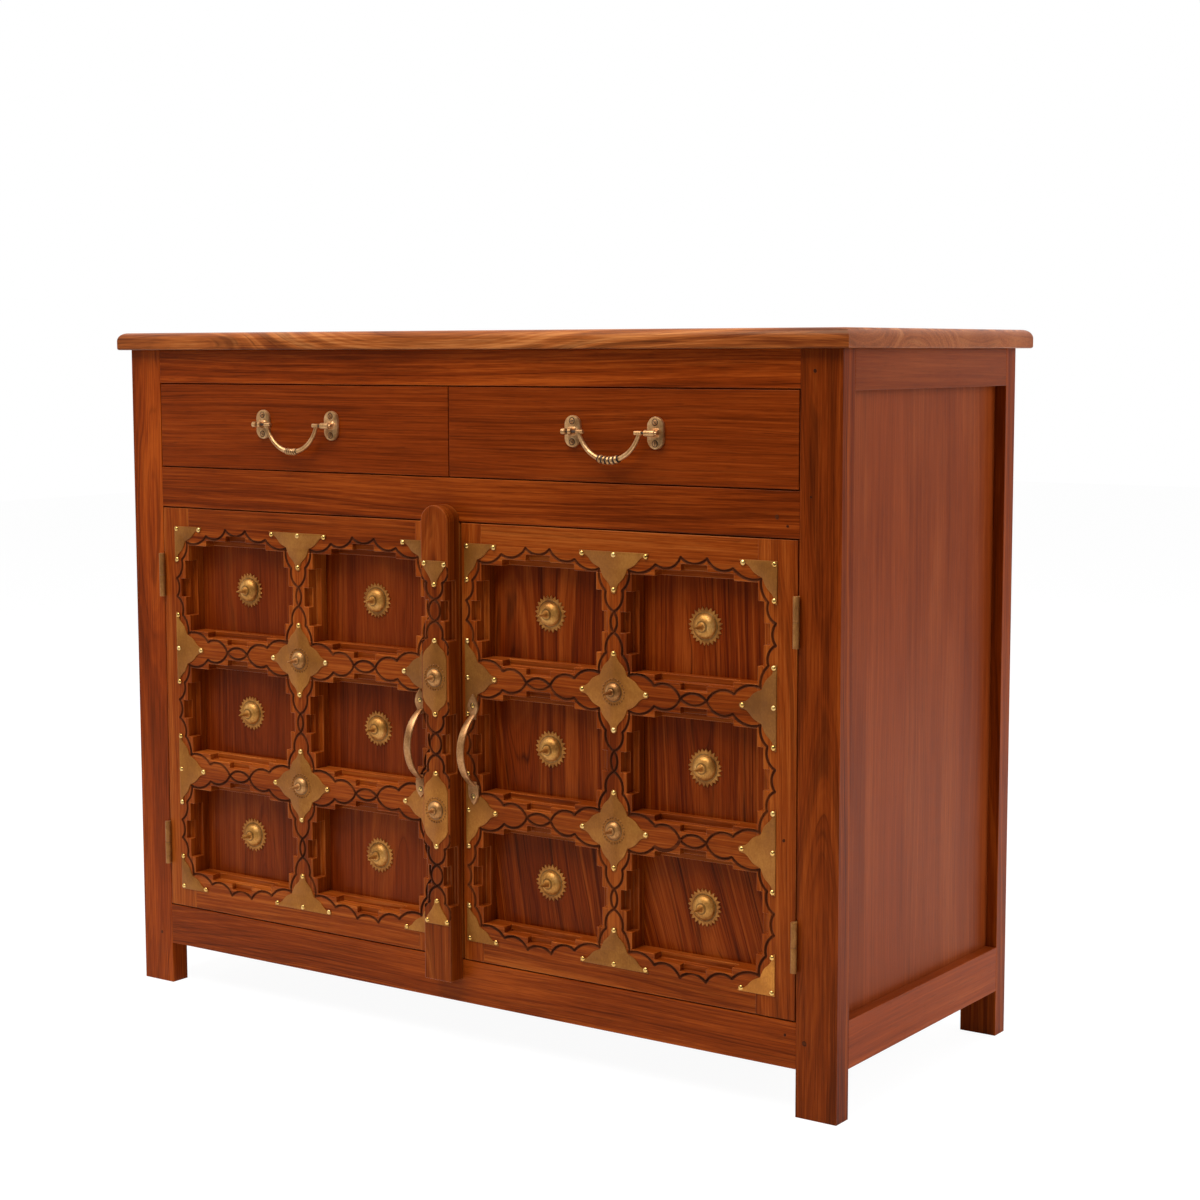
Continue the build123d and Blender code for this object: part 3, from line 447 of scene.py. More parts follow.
def dress(node, axis, edge, spread=0.3, cutters=(), seams=(), leans=(), level=1.0, look=None):
    """Stands a soft-edged board with its own grain in for a wooden CAD node."""
    bm = own_mesh(node, edge)
    cut_boards(bm, seams)
    looks = [look or NODE_SLOT[node]]
    if cutters:
        looks += ["groove_shade_wood", "rubbed_and_highlit_wood"]
    obj = board_object(node + "_board", bm, looks, cutters)
    grain(obj.data, axis, node, spread, seams, leans, level)
    stand_in(obj, node)


# ---- the grooves carved round the cells ----
CORNER = 22.0  # from a lattice crossing to the first scallop
SCALLOPS = 5  # along each side of a cell
SHOULDER, EDGE_DIP = 12.0, 2.0  # how far the scallops' ends lie inside the cell's lines
LONG_BULGES = (6.0, 8.5, 7.5, 8.5, 6.0)
SHORT_BULGES = (3.5, 5.0, 4.8, 5.0, 3.5)
# Each side of a cell: the corner it starts from, the way it runs, the way into the cell, length and name.
SIDES = (
    ((-1, -1), (1, 0), (0, 1), LATTICE_W, "low"),
    ((1, -1), (0, 1), (-1, 0), LATTICE_H, "right"),
    ((1, 1), (-1, 0), (0, -1), LATTICE_W, "high"),
    ((-1, 1), (0, -1), (1, 0), LATTICE_H, "left"),
)
# The cutter's section, across the groove and into the wood: a V with eased lips.
SECTION = ((2.2, -0.15), (0.9, 0.5), (0.0, 1.7), (-0.9, 0.5), (-2.2, -0.15))
# The lips take the rubbed wood, lighter with wear and a painted highlight; the V takes the groove's painted
# shade.
SECTION_KINDS = (WORN_AND_HIGHLIT, 1, 1, WORN_AND_HIGHLIT, 0)  # its faces' materials
RUN_OUT, END_SCALE = 2.0, 0.3  # a groove runs on past its arc's ends and narrows there
# The centre stile's grooves: half length and bulge of the ovals, and the arches' points and bulges.
OVAL_HALF, OVAL_BULGE = 13.6, 9.4
ARCH = ((0.3, 14.0), (12.5, 35.0), (21.0, 54.0))
ARCH_BULGES = (5.4, 4.4)


def arc_points(p0, p1, bulge, count=7):
    """Points of an arc from p0 to p1, which bulges to the left of p0-p1, or to the right if negative."""
    (x0, z0), (x1, z1) = p0, p1
    chord = math.hypot(x1 - x0, z1 - z0)
    radius = (chord * chord / 4 + bulge * bulge) / (2 * abs(bulge))
    half = math.asin(chord / 2 / radius)
    ux, uz = (x1 - x0) / chord, (z1 - z0) / chord
    side = math.copysign(1, bulge)
    out = []
    for i in range(count):
        angle = -half + 2 * half * i / count
        s = radius * math.sin(angle) + chord / 2
        d = (radius * math.cos(angle) - (radius - abs(bulge))) * side
        out.append((x0 + ux * s - uz * d, z0 + uz * s + ux * d))
    return out + [p1]


def cell_loop(cx, cz, outer):
    """The scalloped groove round one cell, from its lower left corner; outer names the leaf's edges."""
    rng = random.Random(f"cell{cx:.0f}{cz:.0f}")
    loop = []
    for (sx, sz), (ax, az), (bx, bz), length, label in SIDES:
        x0, z0 = cx + sx * LATTICE_W / 2, cz + sz * LATTICE_H / 2
        pitch = (length - 2 * CORNER) / SCALLOPS
        dip = EDGE_DIP if label in outer else 0.0
        depths = (CORNER, SHOULDER, dip, dip, SHOULDER, CORNER)
        bulges = [b * rng.uniform(0.92, 1.06) for b in (LONG_BULGES if length == LATTICE_W else SHORT_BULGES)]
        slips = [0, rng.uniform(-1.3, 1.3), 0, 0, rng.uniform(-1.3, 1.3), 0]
        ends = []
        for k, depth in enumerate(depths):
            s, d = CORNER + k * pitch + slips[k], depth + slips[SCALLOPS - k] * 0.4
            ends.append((x0 + ax * s + bx * d, z0 + az * s + bz * d))
        loop += [arc_points(*pair) for pair in zip(ends, ends[1:], bulges)]
    return loop


def v_cutter(name, arcs, y):
    """A strip along each arc, which cuts a groove with tapered ends into the plane at y."""
    verts, faces, kinds = [], [], []
    around = len(SECTION)
    for arc in arcs:
        base = len(verts)
        ends = []
        for end, inner in ((arc[0], arc[1]), (arc[-1], arc[-2])):
            reach = RUN_OUT / math.dist(end, inner)
            ends.append(tuple(e + (e - i) * reach for e, i in zip(end, inner)))
        line = [ends[0], *arc, ends[1]]
        last = len(line) - 1
        for i, (x, z) in enumerate(line):
            (x0, z0), (x1, z1) = line[max(i - 1, 0)], line[min(i + 1, last)]
            size = math.hypot(x1 - x0, z1 - z0)
            nx, nz = -(z1 - z0) / size, (x1 - x0) / size
            scale = END_SCALE if i in (0, last) else 1.0
            verts += [place(x + nx * w * scale, y + (d * scale if d > 0 else d), z + nz * w * scale)
                      for w, d in SECTION]
        for i in range(last):
            a, b = base + around * i, base + around * (i + 1)
            for p in range(around):
                q = (p + 1) % around
                faces.append((a + p, a + q, b + q, b + p))
            kinds += SECTION_KINDS
        end = base + around * last
        faces += [tuple(reversed(range(base, base + around))), tuple(range(end, end + around))]
        kinds += [1, 1]
    mesh = closed_mesh(name, verts, faces)
    for _ in range(3):
        mesh.materials.append(LOOKS["groove_shade_wood"])
    mesh.polygons.foreach_set("material_index", kinds)
    return linked(name, mesh)


def cutter_set(name, groups, y):
    """Cutters for groups of runs of arcs. Arcs that meet go to different ones, as none may cross itself."""
    return [v_cutter(f"{name}_{i}_{odd}", [arc for run in runs for arc in run[odd::2]], y)
            for i, runs in enumerate(groups) for odd in (0, 1)]


def cell_middle(lattice_x, column, row):
    return lattice_x + (column + 0.5) * LATTICE_W, LATTICE_LOW + (row + 0.5) * LATTICE_H


def leaf_cutters(hand, lattice_x):
    groups = ([], [])
    for column in range(COLUMNS):
        for row in range(ROWS):
            outer = (("left", "right")[column], ("low", None, "high")[row])
            loop = cell_loop(*cell_middle(lattice_x, column, row), outer)
            groups[(column + row) % 2].append(loop)
    return cutter_set(f"{hand}_cutter", groups, LEAF_Y)


def stile_cutters():
    """Grooves of the centre stile: a pointed oval in each notch, and arches running out of it."""
    ovals, arches = [], {-1: [], 1: []}
    for row in range(ROWS):
        zc = LATTICE_LOW + (row + 0.5) * LATTICE_H
        low, high = (STILE_X, zc - OVAL_HALF), (STILE_X, zc + OVAL_HALF)
        ovals.append([arc_points(low, high, OVAL_BULGE, 9), arc_points(high, low, OVAL_BULGE, 9)])
        for up in (-1, 1):
            for way in (-1, 1):
                spots = [(STILE_X + way * dx, zc + up * dz) for dx, dz in ARCH]
                bulges = [-up * way * b for b in ARCH_BULGES]
                arches[way].append([arc_points(*pair) for pair in zip(spots, spots[1:], bulges)])
    return cutter_set("stile_cutter", (ovals, arches[-1], arches[1]), STILE_Y)


def carve(boards, cutters, level):
    """Dresses the boards that grooves run over: each is a node, its grain's axis and its spread of tones."""
    for node, axis, spread in boards:
        dress(node, axis, 1.3, spread, cutters, level=level)
    for cutter in cutters:
        bpy.data.objects.remove(cutter)


# ---- case ----
SIDE_SEAMS = seams_at(90.0, 190.0, 286.0)
SLAB_SEAMS = seams_at(118.0, 262.0, 371.0)
SLAB_ROUND, SLAB_EASE = 11, 2.5

for hand in ("left", "right"):
    # The left front post is painted lighter and the right one darker: painted light and shade for the light
    # that falls from the left.
    dress(f"front_{hand}_post", "Z", 1.4, 0, level=1.25 if hand == "left" else 0.88)
    dress(f"rear_{hand}_post", "Z", 1.4)
    dress(f"{hand}_side_bottom_rail", "Y", 1.0, 0.1, level=1.25)
    dress(f"{hand}_side_top_rail", "Y", 1.0, 0.1, level=0.87)
    dress(f"{hand}_side_panel", "Z", 0.5, 0.2, seams=SIDE_SEAMS)
# The front top rail is painted lighter: painted light against the shadow that the top casts on it.
for node, level in (("front_bottom_rail", 1.0), ("front_middle_rail", 1.0), ("front_top_rail", 1.17)):
    dress(node, "X", 0.9, level=level)
for node in ("rear_rails", "back_panels", "bottom_board", "bottom_cleats", "shelf"):
    dress(node, "X", 0.7)
for node in ("shelf_cleats", "drawer_runners", "drawer_guides", "drawer_kickers", "drawer_divider"):
    dress(node, "Y", 0.7)


def top_slab():
    """The top of four glued boards, its upper edge rounded and its lower one eased."""
    low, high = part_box("top_board")
    bm = bmesh.new()
    bmesh.ops.create_cube(bm, size=1.0)
    for v in bm.verts:
        v.co = Vector([low[i] if v.co[i] < 0 else high[i] for i in range(3)])
    top = max(bm.faces, key=lambda f: f.calc_center_median().z)
    bottom = min(bm.faces, key=lambda f: f.calc_center_median().z)
    under = list(bottom.edges)
    bevel(bm, list(top.edges), SLAB_ROUND, 9)
    bevel(bm, [e for e in under if e.is_valid], SLAB_EASE, 3)
    cut_boards(bm, SLAB_SEAMS)
    obj = board_object("top_slab", bm, ["top_wood", "end_wood"])
    for p in obj.data.polygons:
        p.material_index = int(abs(p.normal.x) > 0.6)  # end grain
    grain(obj.data, "X", "slab", 0.3, SLAB_SEAMS)
    smooth(obj.data, 40)
    # Weighted normals keep the broad faces flat where they meet the rounded edge.
    obj.modifiers.new("normals", "WEIGHTED_NORMAL").keep_sharp = True
    obj.data = applied(obj)
    stand_in(obj, "top_board")


top_slab()

# ---- doors ----
PANEL_LEANS = (0.0, 0.03, 0.14, 0.04, 0.0, 0.3)  # of the grain in the right leaf's panels

for hand, lattice_x in LEAVES:
    boards = [
        (f"{hand}_door_hinge_stile", "Z", 0.1),
        (f"{hand}_door_closing_stile", "Z", 0.1),
        (f"{hand}_door_rails", "X", 0.3),
        (f"{hand}_door_muntins", "Z", 0.2),
    ]
    # The right leaf is painted a little darker than the left: painted shade for the light falling from the
    # left.
    carve(boards, leaf_cutters(hand, lattice_x), 0.92 if hand == "left" else 0.88)
    if hand == "left":
        dress("left_door_panels", "Z", 0.4, 0.2, look="plain_panel_wood")
    else:
        dress("right_door_panels", "Z", 0.4, 0.2, leans=PANEL_LEANS)
carve([("centre_stile", "Z", 0)], stile_cutters(), 0.77)

# ---- drawers ----
for hand in ("left", "right"):
    dress(f"{hand}_drawer_front", "X", 1.2)
    dress(f"{hand}_drawer_sides", "Y", 0.6)
    dress(f"{hand}_drawer_back", "X", 0.6)
    dress(f"{hand}_drawer_bottom", "Y", 0.4)

# ---- metalwork ----
X_WAY, Y_WAY, Z_WAY = Vector((1, 0, 0)), Vector((0, 1, 0)), Vector((0, 0, 1))


class Pile:
    """Collects closed shapes into one mesh; kind is a shape's material and tone its shade."""

    def __init__(self):
        self.verts, self.faces, self.kinds, self.tones, self.tone = [], [], [], [], 1.0

    def put(self, verts, faces, kind=0):
        base = len(self.verts)
        self.verts += verts
        self.faces += [tuple(base + i for i in f) for f in faces]
        self.kinds += [kind] * len(faces)
        self.tones += [self.tone] * sum(len(f) for f in faces)

    def rings(self, rings, kind):
        """Closes a row of rings of points into a solid."""
        sides = len(rings[0])
        faces = [tuple(range(sides))]
        for k in range(len(rings) - 1):
            for i in range(sides):
                j = (i + 1) % sides
                faces.append((k * sides + i, (k + 1) * sides + i, (k + 1) * sides + j, k * sides + j))
        faces.append(tuple(reversed(range((len(rings) - 1) * sides, len(rings) * sides))))
        self.put([v for ring in rings for v in ring], faces, kind)

    def turned(self, x, y, z, profile, sides, kind=0, wobble=0.0, seed=0):
        """A turned shape on the plane y: profile gives radius and height to the front."""
        phase = random.Random(f"turned{seed}").uniform(0, 6.28)
        around = []
        for i in range(sides):
            a = 2 * math.pi * i / sides
            uneven = wobble * (math.sin(2 * a + phase) + 0.5 * math.sin(5 * a + phase * 2))
            around.append((math.cos(a) * (1 + uneven), math.sin(a) * (1 + uneven)))
        self.rings([[place(x + r * c, y - h, z + r * s) for c, s in around] for r, h in profile], kind)

    def nail(self, x, y, z, seed):
        radius, height = 3.3, 1.9
        profile = [(radius * math.cos(a), height * math.sin(a)) for a in (0, 0.35, 0.75, 1.15, 1.45)]
        self.turned(x, y, z, profile, 12, 0, 0.03, seed)

    def screw(self, x, y, z, radius, turn):
        """A slotted screw head; the slot is a bar of painted shade that stands a hair proud."""
        self.turned(x, y, z, [(radius, 0), (radius, 0.25), (radius * 0.8, 0.6), (radius * 0.3, 0.75)], 14, 1)
        half_length, half_width, height = radius * 0.86, 0.33, 0.82
        ux, uz = math.cos(turn), math.sin(turn)
        corners = []
        for s, t in ((-1, -1), (1, -1), (1, 1), (-1, 1)):
            a, b = s * half_length, t * half_width
            corners.append((x + ux * a - uz * b, z + uz * a + ux * b))
        self.rings([[place(px, depth, pz) for px, pz in corners] for depth in (y, y - height)], 2)

    def sheet(self, outline, y, thickness, ease=0.35):
        """A plate of this outline, lying on the plane y, with its front edge eased."""
        bm = bmesh.new()
        face = bm.faces.new([bm.verts.new(place(px, y, pz)) for px, pz in outline])
        out = bmesh.ops.extrude_face_region(bm, geom=[face])
        for v in (g for g in out["geom"] if isinstance(g, bmesh.types.BMVert)):
            v.co.y -= thickness * MM
        bmesh.ops.recalc_face_normals(bm, faces=bm.faces)
        front = min(v.co.y for v in bm.verts)
        edges = [e for e in bm.edges if all(abs(v.co.y - front) < 1e-7 for v in e.verts)]
        bevel(bm, edges, ease, clamp_overlap=True)
        bm.verts.index_update()
        self.put([v.co.copy() for v in bm.verts], [tuple(v.index for v in f.verts) for f in bm.faces])
        bm.free()

    def tube(self, points, radii, up, sides=16, kind=0, flat=1.0):
        """A bar along place()d points; radii are (across, deep) pairs, and flat below 1 squares it."""
        rings = []
        last = len(points) - 1
        for i, (p, (across, deep)) in enumerate(zip(points, radii)):
            t = (points[min(i + 1, last)] - points[max(i - 1, 0)]).normalized()
            u = t.cross(up).normalized()
            w = u.cross(t).normalized()
            ring = []
            for k in range(sides):
                a = 2 * math.pi * (k + 0.5) / sides
                c, s = (math.copysign(abs(v) ** flat, v) for v in (math.cos(a), math.sin(a)))
                ring.append(p + u * c * across * MM + w * s * deep * MM)
            rings.append(ring)
        self.rings(rings, kind)

    def mesh(self, name):
        return closed_mesh(name, self.verts, self.faces)

    def object(self, name, body, slot, replaced=None, looks=(), degrees=40):
        """Hands the shapes in as one piece, whose materials are looks, or else the slot's own."""
        mesh = self.mesh(name)
        for look in looks or (slot,):
            mesh.materials.append(LOOKS[look])
        mesh.polygons.foreach_set("material_index", self.kinds)
        mesh.attributes.new("tone", "FLOAT", "CORNER").data.foreach_set("value", self.tones)
        smooth(mesh, degrees)
        obj = linked(name, mesh)
        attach(obj, body)
        if replaced:
            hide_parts(replaced)


def rounded(points, steps=6):
    """A smooth open line through the points (Catmull-Rom), its ends kept."""
    pts = [points[0], *points, points[-1]]
    out = []
    for p0, p1, p2, p3 in zip(pts, pts[1:], pts[2:], pts[3:]):
        for k in range(steps):
            t = k / steps
            out.append(tuple(
                0.5 * (2 * b + (c - a) * t + (2 * a - 5 * b + 4 * c - d) * t * t
                       + (3 * b - a - 3 * c + d) * t ** 3)
                for a, b, c, d in zip(p0, p1, p2, p3)
            ))
    return out + [points[-1]]


def thinned(points):
    """The points of a closed outline without those that the next one repeats."""
    return [p for p, after in zip(points, points[1:] + points[:1]) if math.dist(p, after) > 0.01]


def mirrored(half, x, z, sx=1, sz=1):
    """An outline out along half, a list of (across, up) points, and back along its mirror image."""
    right = [(x + sx * dx, z + sz * dz) for dx, dz in half]
    left = [(x - sx * dx, z + sz * dz) for dx, dz in reversed(half)]
    return right + left


# ---- star plates, sunbursts and studs ----
def petal(root, belly, neck, throat, reach, tip=4.2):
    """Half a petal's edge from its root to its tip as (aside, out) points; those given are (out, aside)."""
    middle = reach - tip
    start = math.atan2(throat[1], throat[0] - middle) if throat[0] > middle else math.pi / 2
    angles = [start * (1 - k / 5) for k in range(1, 5)]
    end = [(middle + tip * math.cos(a), tip * math.sin(a)) for a in angles]
    line = rounded([root, belly, neck, throat]) + end + [(reach, 0.0)]
    return [(aside, out) for out, aside in line]


STAR_PETAL = petal((20, 20), (30.5, 15), (38, 7.4), (42.5, 4.6), 50.5)
STILE_PETAL = petal((25.5, 19), (33, 15.4), (38.5, 9.2), (43, 4.8), 50.5)
CREST_PETAL = petal((0, 19.2), (9, 16), (19, 8.5), (25.5, 4.6), 33.5)
CREST_INSET = 22.0  # the end plates' straight edges, from the lattice's ends
# Edge of a star plate from the end of its +x petal to the end of its +z petal.
STAR_QUADRANT = [(z, x) for x, z in STAR_PETAL[::-1]] + STAR_PETAL[1:]
QUADRANTS = [(1, 1), (-1, 1), (-1, -1), (1, -1)]  # in turn
# Shades of the star plates that stand out from the rest, by leaf, column and row.
PLATE_TONES = {
    "right20": 1.4, "right21": 0.98, "right22": 0.74, "right23": 0.95, "right10": 0.84, "right02": 0.8,
    "left21": 1.12, "left03": 0.95, "left10": 1.06, "left00": 0.88, "left23": 0.78, "left22": 0.78,
}
NAIL_REACH, CUT_NAIL_REACH = 46.5, 46.0  # from a plate's middle to the nails in its petals
NAIL_INSET = 3.8  # from a cut edge to its nails
# Nails of the centre stile's whole and end plates: across, and along from the middle or the cut edge.
STILE_NAILS = ((0.3, -47.0), (0.3, 47.0))
CREST_NAILS = ((-15.6, 4.0), (16.4, 4.5), (0.3, 30.2))
SUN_INNER, SUN_ROOT, SUN_TIP, SUN_TEETH, SUN_THICKNESS = 13.0, 19.3, 23.6, 24, 1.2
# Share of the way from a sunburst's inner ring to its rim, and height as a share of its thickness.
SUN_RINGS = ((0.0, 1.1), (0.4, 1.0), (0.93, 0.95), (1.0, 0.6), (1.0, 0.0))
DOT = [(1.4, 0.0), (1.25, 0.45), (0.8, 0.85), (0.2, 1.0)]
DOTS, DOT_RING, DOT_TONE = 24, 15.8, 0.68
# A stud's rings from its foot up: tone and profile of the seat and neck, dark with painted shade, the dome,
# and the spike, lighter with a painted highlight.
LARGE_STUD = (
    (0.42, [(17.2, 0.0), (17.2, 0.5), (16.6, 0.9), (15.6, 0.9), (15.4, 0.2)]),
    (1.0, [(15.8, 0.0), (15.7, 1.5), (15.0, 3.2), (13.8, 4.9), (12.1, 6.3), (10.1, 7.4), (8.2, 8.0),
           (7.2, 8.2)]),
    (0.5, [(7.4, 7.8), (7.3, 8.4), (6.4, 8.7), (5.0, 8.8), (4.6, 8.4)]),
    (1.08, [(5.4, 8.2), (5.4, 9.5), (4.8, 9.9), (4.0, 9.9), (3.7, 10.6), (3.3, 11.4), (2.9, 12.8),
            (2.5, 15.2), (1.9, 18.4), (1.2, 22.0), (0.5, 25.0), (0.15, 25.5)]),
)
SMALL_STUD = (
    (0.45, [(12.3, 0.0), (12.3, 0.5), (11.8, 0.8), (11.0, 0.8), (10.8, 0.2)]),
    (1.0, [(11.2, 0.0), (11.0, 1.4), (10.3, 2.7), (9.2, 4.0), (7.8, 4.9), (6.4, 5.4), (5.6, 5.6)]),
    (0.55, [(5.9, 5.2), (5.8, 5.8), (5.0, 6.0), (4.0, 6.0), (3.6, 5.7)]),
    (1.08, [(4.3, 5.6), (4.3, 6.6), (3.8, 6.9), (3.2, 7.0), (2.9, 7.6), (2.6, 8.8), (2.2, 10.8), (1.7, 13.2),
            (1.1, 16.0), (0.5, 18.2), (0.15, 18.5)]),
)
SPIKE_FOOT = 6.6  # a small stud's spike is drawn out from here up
LEAF_SPIKE = 1.4  # how much longer the spikes on the leaves' stars are than those on the stile


def sunburst(x, y, z, seed):
    """Points and faces of a flat ring whose rim is cut into pointed teeth, each bent a little its own way."""
    rng = random.Random(f"sun{seed}")
    start = rng.uniform(0, 1)
    slips = [(rng.uniform(-0.1, 0.1), rng.uniform(-0.5, 0.5), rng.uniform(-0.2, 0.3))
             for _ in range(SUN_TEETH)]
    steps = SUN_TEETH * 4
    verts = []
    for share, height in SUN_RINGS:
        for i in range(steps):
            slip, reach, bend = slips[i // 4]
            lobe = (0.0, 0.5, 1.0, 0.5)[i % 4]
            a = 2 * math.pi * (i + start + slip * 4 * lobe) / steps
            r = SUN_INNER + (SUN_ROOT + (SUN_TIP - SUN_ROOT + reach) * lobe - SUN_INNER) * share
            rise = (height + bend * lobe * share) * SUN_THICKNESS
            verts.append(place(x + r * math.cos(a), y - rise, z + r * math.sin(a)))
    last, top, under = len(verts) - steps, len(verts), len(verts) + 1
    verts += [place(x, y - 1.1 * SUN_THICKNESS, z), place(x, y, z)]
    faces = []
    for i in range(steps):
        j = (i + 1) % steps
        faces += [(k + i, k + j, k + steps + j, k + steps + i) for k in range(0, last, steps)]
        faces += [(top, j, i), (under, last + i, last + j)]
    return verts, faces


def stud(pile, x, y, z, rings, seed, longer=1.0, kind=0):
    """A domed stud with its spike; the dark rings round the dome's edge and the spike's collar are painted
    shade in their creases, with some tarnish at the collar.
    """
    for tone, profile in rings:
        pile.tone = tone
        profile = [(r, h if h < SPIKE_FOOT else SPIKE_FOOT + (h - SPIKE_FOOT) * longer) for r, h in profile]
        pile.turned(x, y, z, profile, 28, kind, 0.008, seed)


def stud_on_star(pile, plates, x, y, z, seed, longer=1.0):
    """A small stud, with the ring of dots punched up round it from behind the plate."""
    plate_tone, plates.tone = plates.tone, DOT_TONE
    for k in range(DOTS):
        a = 2 * math.pi * (k + 0.3) / DOTS
        plates.turned(x + DOT_RING * math.cos(a), y, z + DOT_RING * math.sin(a), DOT, 8)
    plates.tone = plate_tone
    stud(pile, x, y, z, SMALL_STUD, seed, longer, 1)


def star_outline(x, z, xs, zs):
    """A star plate, or the half or quarter of it on the sides of its middle that xs and zs name."""
    present = [q for q in QUADRANTS if q[0] in xs and q[1] in zs]
    if present == [QUADRANTS[0], QUADRANTS[-1]]:
        present.reverse()
    out = []
    for sx, sz in present:
        part = [(x + sx * dx, z + sz * dz) for dx, dz in STAR_QUADRANT]
        out += part if sx == sz else part[::-1]
    if len(present) == 1:
        out.append((x, z))
    return thinned(out)


def nail_spots(x, z, xs, zs):
    """A nail in each petal of a star plate, and one in the middle of a cut edge."""
    cut_x, cut_z = len(xs) == 1, len(zs) == 1
    nx = x + xs[0] * NAIL_INSET if cut_x else x
    nz = z + zs[0] * NAIL_INSET if cut_z else z
    spots = [(x + s * (CUT_NAIL_REACH if cut_x else NAIL_REACH), nz) for s in xs]
    spots += [(nx, z + s * (CUT_NAIL_REACH if cut_z else NAIL_REACH)) for s in zs]
    if cut_x or cut_z:
        spots.append((nx, nz))
    return spots


def sides_inside(number, last):
    """Which sides of a lattice line lie on the leaf."""
    return [side for side in (-1, 1) if 0 <= number + side <= last]


def leaf_brass(hand, lattice_x):
    plates, nails, studs, suns = Pile(), Pile(), Pile(), Pile()
    front = LEAF_Y - PLATE
    for column in range(COLUMNS + 1):
        for row in range(ROWS + 1):
            x, z = lattice_x + column * LATTICE_W, LATTICE_LOW + row * LATTICE_H
            xs, zs = sides_inside(column, COLUMNS), sides_inside(row, ROWS)
            seed = f"{hand}{column}{row}"
            usual_tone = 0.92 + 0.04 * ((column * 5 + row * 3) % 4)
            plates.tone = PLATE_TONES.get(seed, usual_tone)
            plates.sheet(star_outline(x, z, xs, zs), LEAF_Y, PLATE)
            for k, (nx, nz) in enumerate(nail_spots(x, z, xs, zs)):
                nails.nail(nx, front, nz, f"{seed}{k}")
            if len(xs) == len(zs) == 2:
                stud_on_star(studs, plates, x, front, z, seed, LEAF_SPIKE)
    for column in range(COLUMNS):
        for row in range(ROWS):
            cx, cz = cell_middle(lattice_x, column, row)
            seed = f"{hand}c{column}{row}"
            suns.put(*sunburst(cx, PANEL_Y, cz, seed))
            stud(studs, cx, PANEL_Y - 1.0, cz, LARGE_STUD, seed)
    return plates, nails, studs, suns


stile_plates, stile_nails = Pile(), Pile()
stile_front = STILE_Y - PLATE
for hand, lattice_x in LEAVES:
    plates, nails, studs, suns = leaf_brass(hand, lattice_x)
    body = f"{hand}_door"
    plates.object(f"{hand}_star_plates", body, "plate_brass", f"{hand}_door_plates", degrees=30)
    nails.object(f"{hand}_star_nails", body, "stud_brass", looks=["nail_brass"])
    if hand == "left":
        for row in (1, 2):
            z = LATTICE_LOW + row * LATTICE_H
            stud_on_star(studs, stile_plates, STILE_X, stile_front, z, f"stile{row}")
    studs.object(f"{hand}_studs", body, "stud_brass", f"{hand}_door_studs", ["stud_brass", "star_stud_brass"])
    suns.object(f"{hand}_suns", body, "sunburst_brass", f"{hand}_door_sunbursts")

for row, tone in ((1, 1.1), (2, 0.93)):
    z = LATTICE_LOW + row * LATTICE_H
    stile_plates.tone = tone
    outline = mirrored(STILE_PETAL, STILE_X, z) + mirrored(STILE_PETAL, STILE_X, z, -1, -1)
    stile_plates.sheet(thinned(outline), STILE_Y, PLATE)
    for k, (dx, dz) in enumerate(STILE_NAILS):
        stile_nails.nail(STILE_X + dx, stile_front, z + dz, f"s{row}{k}")
lattice_high = LATTICE_LOW + ROWS * LATTICE_H
for z, way, tone in ((lattice_high - CREST_INSET, -1, 0.9), (LATTICE_LOW + CREST_INSET, 1, 1.05)):
    stile_plates.tone = tone
    stile_plates.sheet(thinned(mirrored(CREST_PETAL, STILE_X, z, 1, way)), STILE_Y, PLATE)
    for k, (dx, dz) in enumerate(CREST_NAILS):
        stile_nails.nail(STILE_X + dx, stile_front, z + way * dz, f"c{z}{k}")
stile_plates.object("stile_plate_set", "left_door", "plate_brass", "centre_stile_plates", degrees=30)
stile_nails.object("stile_nails", "left_door", "stud_brass", looks=["nail_brass"])

# ---- door pulls ----
PULL_MIDDLE, PULL_HALF, PULL_REACH = 387.0, 47.0, 31.0
PULL_FOOT = 2.6  # thickness of its feet
PULL_SCREWS = ((444.6, 0.5), (328.6, 1.1))  # height and turn of each
# Halves of the upper and lower foot, as (across, up) from where the strap springs.
PULL_LEAF = [(4.4, -7.0), (4.6, -1.5), (7.2, 4.5), (8.0, 10.0), (6.0, 17.0), (2.4, 22.4), (0.8, 25.0)]
PULL_SHIELD = [(4.4, 7.0), (4.6, 3.6), (8.0, 2.4), (8.1, -8.0), (7.0, -13.0), (3.6, -18.6), (0.7, -22.0)]


